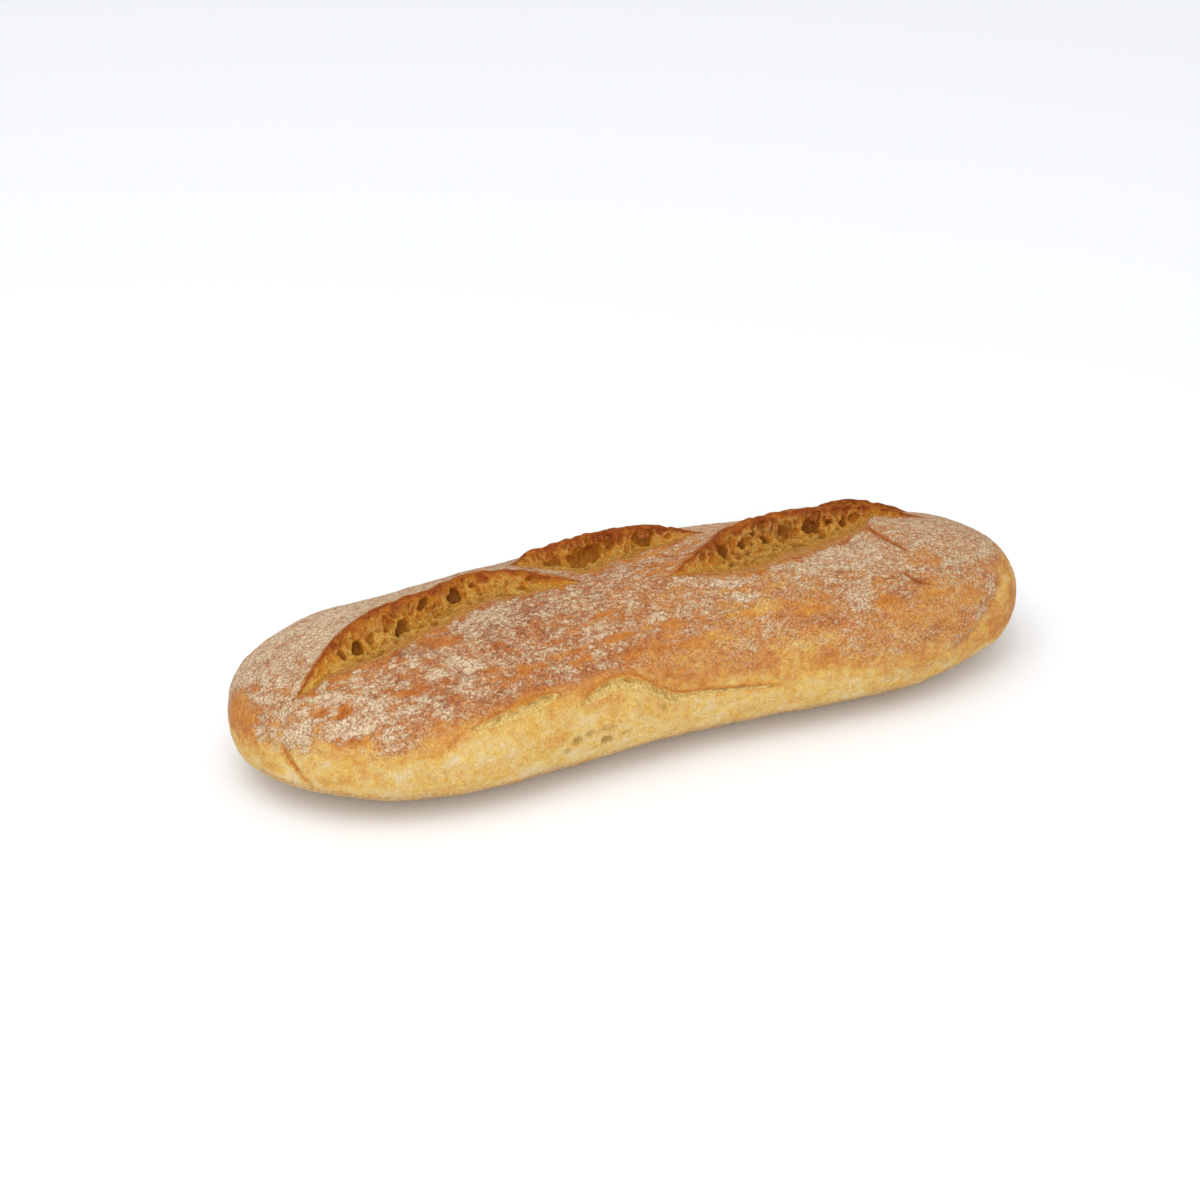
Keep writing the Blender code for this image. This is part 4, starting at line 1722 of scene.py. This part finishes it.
@cache
def baked_group() -> bpy.types.NodeTree:
    """Group: the colour of baked dough from pale to dark brown, mottled at three scales.

    Returns:
        The group's tree.
    """
    tree, desk, given, result = open_group(
        "baked dough",
        (("Vector", Socket.VECTOR, None), ("Bake", Socket.VALUE, 0.5), ("Mottle", Socket.VALUE, 1.0)),
        (("Color", Socket.COLOUR),))
    vector = given.outputs["Vector"]
    fine = desk.swing(vector, 800, 2.0, 0.6)
    middle = desk.swing(vector, 330, 2.0, 0.6)
    broad = desk.swing(vector, 110, 3.0, 0.6)
    mottle = desk.weigh((broad, 0.30), (middle, 0.50), (fine, 0.36))
    tone = desk.line(mottle, given.outputs["Mottle"], given.outputs["Bake"])
    colour = desk.ramp(tone, (
        (0.0, (0.680, 0.515, 0.250)), (0.18, (0.655, 0.435, 0.132)), (0.34, (0.610, 0.335, 0.080)),
        (0.50, (0.530, 0.222, 0.046)), (0.66, (0.445, 0.150, 0.028)), (0.82, (0.310, 0.074, 0.012)),
        (1.0, (0.150, 0.030, 0.005))))
    powder = desk.step(desk.noise(vector, 170, 3.0, 0.65), 0.36, 0.64)
    tint = desk.mix(powder, (1.01, 0.99, 0.84), (0.99, 1.00, 1.18))
    desk.wire(desk.mix(1.0, colour, tint, Blend.TINT), result.inputs["Color"])
    return tree


@cache
def grain_group() -> bpy.types.NodeTree:
    """Group: height of fine dimples and of hair-thin stretch lines that run along the loaf.

    Returns:
        The group's tree.
    """
    tree, desk, given, result = open_group(
        "skin grain",
        (("Vector", Socket.VECTOR, None), ("Stretch", Socket.VALUE, 0.3)),
        (("Height", Socket.VALUE),))
    vector = given.outputs["Vector"]
    drawn = desk.swing(desk.squeeze(vector, 0.16, 6), 520, 3.0, 0.6, 0.9)
    lines = desk.step(desk.sum(Sum.UNSIGNED, drawn), 0.0, 0.07)
    dimples = desk.noise(vector, 900, 4.0, 0.65)
    desk.wire(desk.line(desk.times(lines, given.outputs["Stretch"]), 0.9, dimples), result.inputs["Height"])
    return tree


@cache
def crumb_group() -> bpy.types.NodeTree:
    """Group: torn crumb, whose places across the tear wander, with its dust, grain and fine height.

    Returns:
        The group's tree.
    """
    tree, desk, given, result = open_group(
        "torn crumb texture",
        (("Vector", Socket.VECTOR, None), ("Across", Socket.VALUE, 0.5), ("Rim", Socket.VALUE, 0.2)),
        (("Place", Socket.VALUE), ("Dust", Socket.VALUE), ("Grain", Socket.COLOUR),
         ("Height", Socket.VALUE)))
    vector = given.outputs["Vector"]
    fine = desk.swing(vector, 900, 3.0, 0.65)
    moved = desk.line(desk.swing(vector, 90, 2.0, 0.6), 0.40, given.outputs["Across"])
    moved = desk.line(desk.swing(vector, 260, 3.0, 0.6), 0.70, moved)
    moved = desk.line(fine, 0.70, moved)
    rim = desk.sum(Sum.LESS, 1.0, desk.step(moved, 0.0, given.outputs["Rim"]))
    dust = desk.step(desk.noise(vector, 560, 3.0, 0.7), 0.50, 0.60)
    desk.wire(moved, result.inputs["Place"])
    desk.wire(desk.times(rim, desk.times(dust, 0.62)), result.inputs["Dust"])
    grain = desk.mix(desk.step(fine, -0.14, 0.16), (0.72, 0.68, 0.60), (1.14, 1.12, 1.08))
    desk.wire(grain, result.inputs["Grain"])
    desk.wire(desk.noise(vector, 1100, 4.0, 0.65), result.inputs["Height"])
    return tree


def open_material(name: str) -> tuple[bpy.types.Material, NodeDesk, bpy.types.Node, Port]:
    """Start a material.

    Args:
        name: Its name.

    Returns:
        The material, its desk, its Principled shader and the object's own coordinates.
    """
    material = bpy.data.materials.new(name)
    material.use_nodes = True
    desk = NodeDesk(material.node_tree)
    shader = material.node_tree.nodes["Principled BSDF"]
    place = desk.node("ShaderNodeTexCoord").outputs["Object"]
    return material, desk, shader, place


@dataclass(frozen=True)
class CrustFinish:
    """Baked crust under flour."""

    name: str = "floured crust"
    flour_colour: Colour = (0.588, 0.457, 0.300)
    clump_colour: Colour = (0.655, 0.520, 0.355)
    flour_shade: Colour = (0.480, 0.270, 0.150)
    crack_colour: Colour = (0.330, 0.130, 0.050)
    # crumb colour of the pores, darkened as painted shade in their dents
    pore_crumb_and_shade_colour: Colour = (0.400, 0.255, 0.060)
    speck_dark: Colour = (0.60, 0.56, 0.51)
    speck_light: Colour = (1.27, 1.29, 1.28)
    softness: float = 0.085
    mottle: float = 1.1
    stretch: float = 0.35
    bump: tuple[float, float] = (0.6, 0.35)

    def material(self) -> bpy.types.Material:
        """Make the material: baked dough coloured by the browning mask, with flour laid over it.

        Returns:
            The material.
        """
        material, desk, shader, place = open_material(self.name)
        density = desk.attribute("flour")
        flour = desk.group(flour_group(), Vector=place, Density=density, Softness=self.softness).outputs
        baked = desk.group(baked_group(), Vector=place, Bake=desk.attribute("bake"), Mottle=self.mottle)
        grain = desk.group(grain_group(), Vector=place, Stretch=self.stretch)
        white = desk.mix(desk.step(density, 0.80, 1.0), self.flour_colour, self.clump_colour)
        colour = desk.mix(desk.times(flour["Haze"], 0.70), baked.outputs["Color"], self.flour_shade)
        colour = desk.mix(desk.times(flour["Cover"], 0.84), colour, white)
        colour = desk.mix(desk.times(flour["Crack"], 0.34), colour, self.crack_colour)
        # pores: crumb colour with painted shade in the dents
        colour = desk.mix(desk.times(desk.attribute("pore"), 0.85), colour, self.pore_crumb_and_shade_colour)
        speckled = desk.mix(flour["Speck"], self.speck_dark, self.speck_light)
        strength = desk.line(desk.step(density, 0.15, 0.55), 0.66, 0.30)
        colour = desk.mix(strength, colour, speckled, Blend.TINT)
        rough = desk.line(flour["Cover"], 0.30, 0.58)
        height = desk.line(flour["Height"], 0.7, grain.outputs["Height"])
        desk.dress(shader, colour, rough, height, self.bump)
        return material


@dataclass(frozen=True)
class SlashCrumb:
    """Torn crumb of a slash, browned on the rim and darkest along the ear's crest."""

    name: str = "torn crumb"
    stops: tuple = (
        (0.0, (0.450, 0.185, 0.042)), (0.14, (0.440, 0.188, 0.032)), (0.28, (0.435, 0.192, 0.026)),
        (0.46, (0.455, 0.214, 0.026)), (0.60, (0.500, 0.215, 0.018)), (0.76, (0.480, 0.165, 0.010)),
        (0.88, (0.415, 0.122, 0.011)), (0.97, (0.300, 0.064, 0.007)), (1.0, (0.250, 0.048, 0.005)))
    # pale web crumb, brightened further as a painted highlight of light through the thin webs
    web_tone_and_highlight: Colour = (0.640, 0.425, 0.115)
    # painted shade in the holes
    hole_shade_colour: Colour = (0.195, 0.062, 0.003)
    dust_colour: Colour = (0.560, 0.400, 0.250)
    rim: float = 0.20
    roughness: float = 0.62
    bump: tuple[float, float] = (0.6, 0.3)

    def material(self) -> bpy.types.Material:
        """Make the material: coloured across the tear, dark in the holes, pale on the webs.

        Returns:
            The material.
        """
        material, desk, shader, place = open_material(self.name)
        across = desk.attribute("across")
        crumb = desk.group(crumb_group(), Vector=place, Across=across, Rim=self.rim).outputs
        # webs: paler crumb, with a painted highlight standing in for light through the thin walls
        web = desk.times(desk.step(desk.attribute("web"), 0.36, 0.95), 0.44)
        # painted shade of the holes
        hole = desk.times(desk.step(desk.attribute("hole"), 0.10, 0.85), 0.80)
        colour = desk.mix(web, desk.ramp(crumb["Place"], self.stops), self.web_tone_and_highlight)
        colour = desk.mix(hole, colour, self.hole_shade_colour)
        colour = desk.mix(crumb["Dust"], colour, self.dust_colour)
        colour = desk.mix(1.0, colour, crumb["Grain"], Blend.TINT)
        desk.dress(shader, colour, self.roughness, crumb["Height"], self.bump)
        return material


@dataclass(frozen=True)
class SplitCrumb(SlashCrumb):
    """Paler crumb of the side splits, orange only under the upper lip."""

    name: str = "split crumb"
    # the stops near 1 are orange baked crumb, brightened as painted light against the shade under the upper
    # lip
    stops: tuple = (
        (0.0, (0.650, 0.445, 0.140)), (0.35, (0.660, 0.460, 0.160)), (0.60, (0.620, 0.425, 0.145)),
        (0.80, (0.650, 0.365, 0.085)), (0.90, (0.690, 0.300, 0.050)), (1.0, (0.640, 0.240, 0.035)))
    # pale web crumb, with a painted highlight of light through the thin webs
    web_tone_and_highlight: Colour = (0.720, 0.560, 0.250)
    # painted shade in the dents of the splits
    hole_shade_colour: Colour = (0.500, 0.325, 0.080)
    dust_colour: Colour = (0.690, 0.490, 0.220)


# ---- studio -----------------------------------------------------------------------------------------


@dataclass(frozen=True)
class Lamp:
    """One square soft light, in metres and watts."""

    name: str
    place: tuple[float, float, float]
    aim: tuple[float, float, float]
    size: float
    power: float

    def hang(self) -> None:
        """Add the light, turned so that it points at its aim."""
        light = bpy.data.lights.new(self.name, "AREA")
        light.size = self.size
        light.energy = self.power
        lamp = bpy.data.objects.new(self.name, light)
        gap = np.array(self.place) - np.array(self.aim)
        flat = math.hypot(gap[0], gap[1])
        lamp.location = self.place
        lamp.rotation_euler = (math.atan2(flat, gap[2]), 0, math.atan2(gap[0], -gap[1]))
        bpy.context.scene.collection.objects.link(lamp)


@dataclass
class Studio:
    """White floor, soft lights and the camera."""

    azimuth: float = -21.74
    elevation: float = 30.0
    distance: float = 1.235
    lens: float = 81.05
    target: tuple[float, float, float] = (0.0, 0.0, 0.03325)
    shift: tuple[float, float] = (-0.0301, 0.0295)
    floor_half: float = 6.0
    room_light: float = 0.83
    lamps: tuple[Lamp, ...] = (
        Lamp("top softbox", (-0.45, -0.25, 1.5), (0, 0, 0), 1.2, 7.4),
        Lamp("front softbox", (-0.6, -1.8, 0.75), (0, 0, 0.03), 1.2, 10),
    )

    def floor(self) -> None:
        """A wide white floor under the loaf."""
        half = self.floor_half
        mesh = bpy.data.meshes.new("floor")
        corners = [(-half, -half, 0), (half, -half, 0), (half, half, 0), (-half, half, 0)]
        mesh.from_pydata(corners, [], [(0, 1, 2, 3)])
        ground = bpy.data.objects.new("floor", mesh)
        bpy.context.scene.collection.objects.link(ground)
        material, desk, shader, place = open_material("white floor")
        tint = desk.mix(desk.noise(place, 3.0), (0.940, 0.958, 0.982), (0.945, 0.963, 0.987))
        desk.wire(tint, shader.inputs["Base Color"])
        shader.inputs["Roughness"].default_value = 0.9
        shader.inputs["Specular IOR Level"].default_value = 0.1
        mesh.materials.append(material)

    def lights(self) -> None:
        """Soft light from above and in front, in a bright white room."""
        for lamp in self.lamps:
            lamp.hang()
        world = bpy.data.worlds.new("white room")
        world.use_nodes = True
        back = world.node_tree.nodes["Background"]
        back.inputs["Color"].default_value = (1.0, 1.0, 1.0, 1.0)
        back.inputs["Strength"].default_value = self.room_light
        bpy.context.scene.world = world

    def camera(self, side_shift: float) -> None:
        """The camera, aimed at the loaf's middle from the front left and above.

        Args:
            side_shift: How far the centred loaf has moved along Y, in metres.
        """
        turn, rise = math.radians(self.azimuth), math.radians(self.elevation)
        back = np.array([math.sin(turn) * math.cos(rise), -math.cos(turn) * math.cos(rise), math.sin(rise)])
        target = np.array(self.target) + (0, side_shift, 0)
        data = bpy.data.cameras.new("camera")
        data.lens = self.lens
        data.shift_x, data.shift_y = self.shift
        camera = bpy.data.objects.new("camera", data)
        camera.location = target + back * self.distance
        camera.rotation_euler = (math.pi / 2 - rise, 0, turn)
        bpy.context.scene.collection.objects.link(camera)
        bpy.context.scene.camera = camera

    def build(self, side_shift: float) -> None:
        """Set the whole studio and show colours as they are.

        Args:
            side_shift: How far the centred loaf has moved along Y, in metres.
        """
        self.floor()
        self.lights()
        self.camera(side_shift)
        scene = bpy.context.scene
        scene.view_settings.view_transform = "Standard"
        scene.view_settings.look = "None"


def main() -> None:
    """Build the loaf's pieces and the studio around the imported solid."""
    logging.basicConfig(level=logging.INFO, format="%(name)s: %(message)s")
    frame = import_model()
    log.info("frame holds %d node(s)", len(frame["nodes"]))
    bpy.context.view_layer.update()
    form = LoafForm()
    pieces = [Crust(form).build()]
    for row in form.rows:
        for opening in row.openings:
            pieces.append(CrumbBed(form, row, opening).build())
    for piece in pieces:
        place_on_loaf(piece)
    Studio().build(form.side_shift() * MM)


if __name__ == "__main__":
    main()
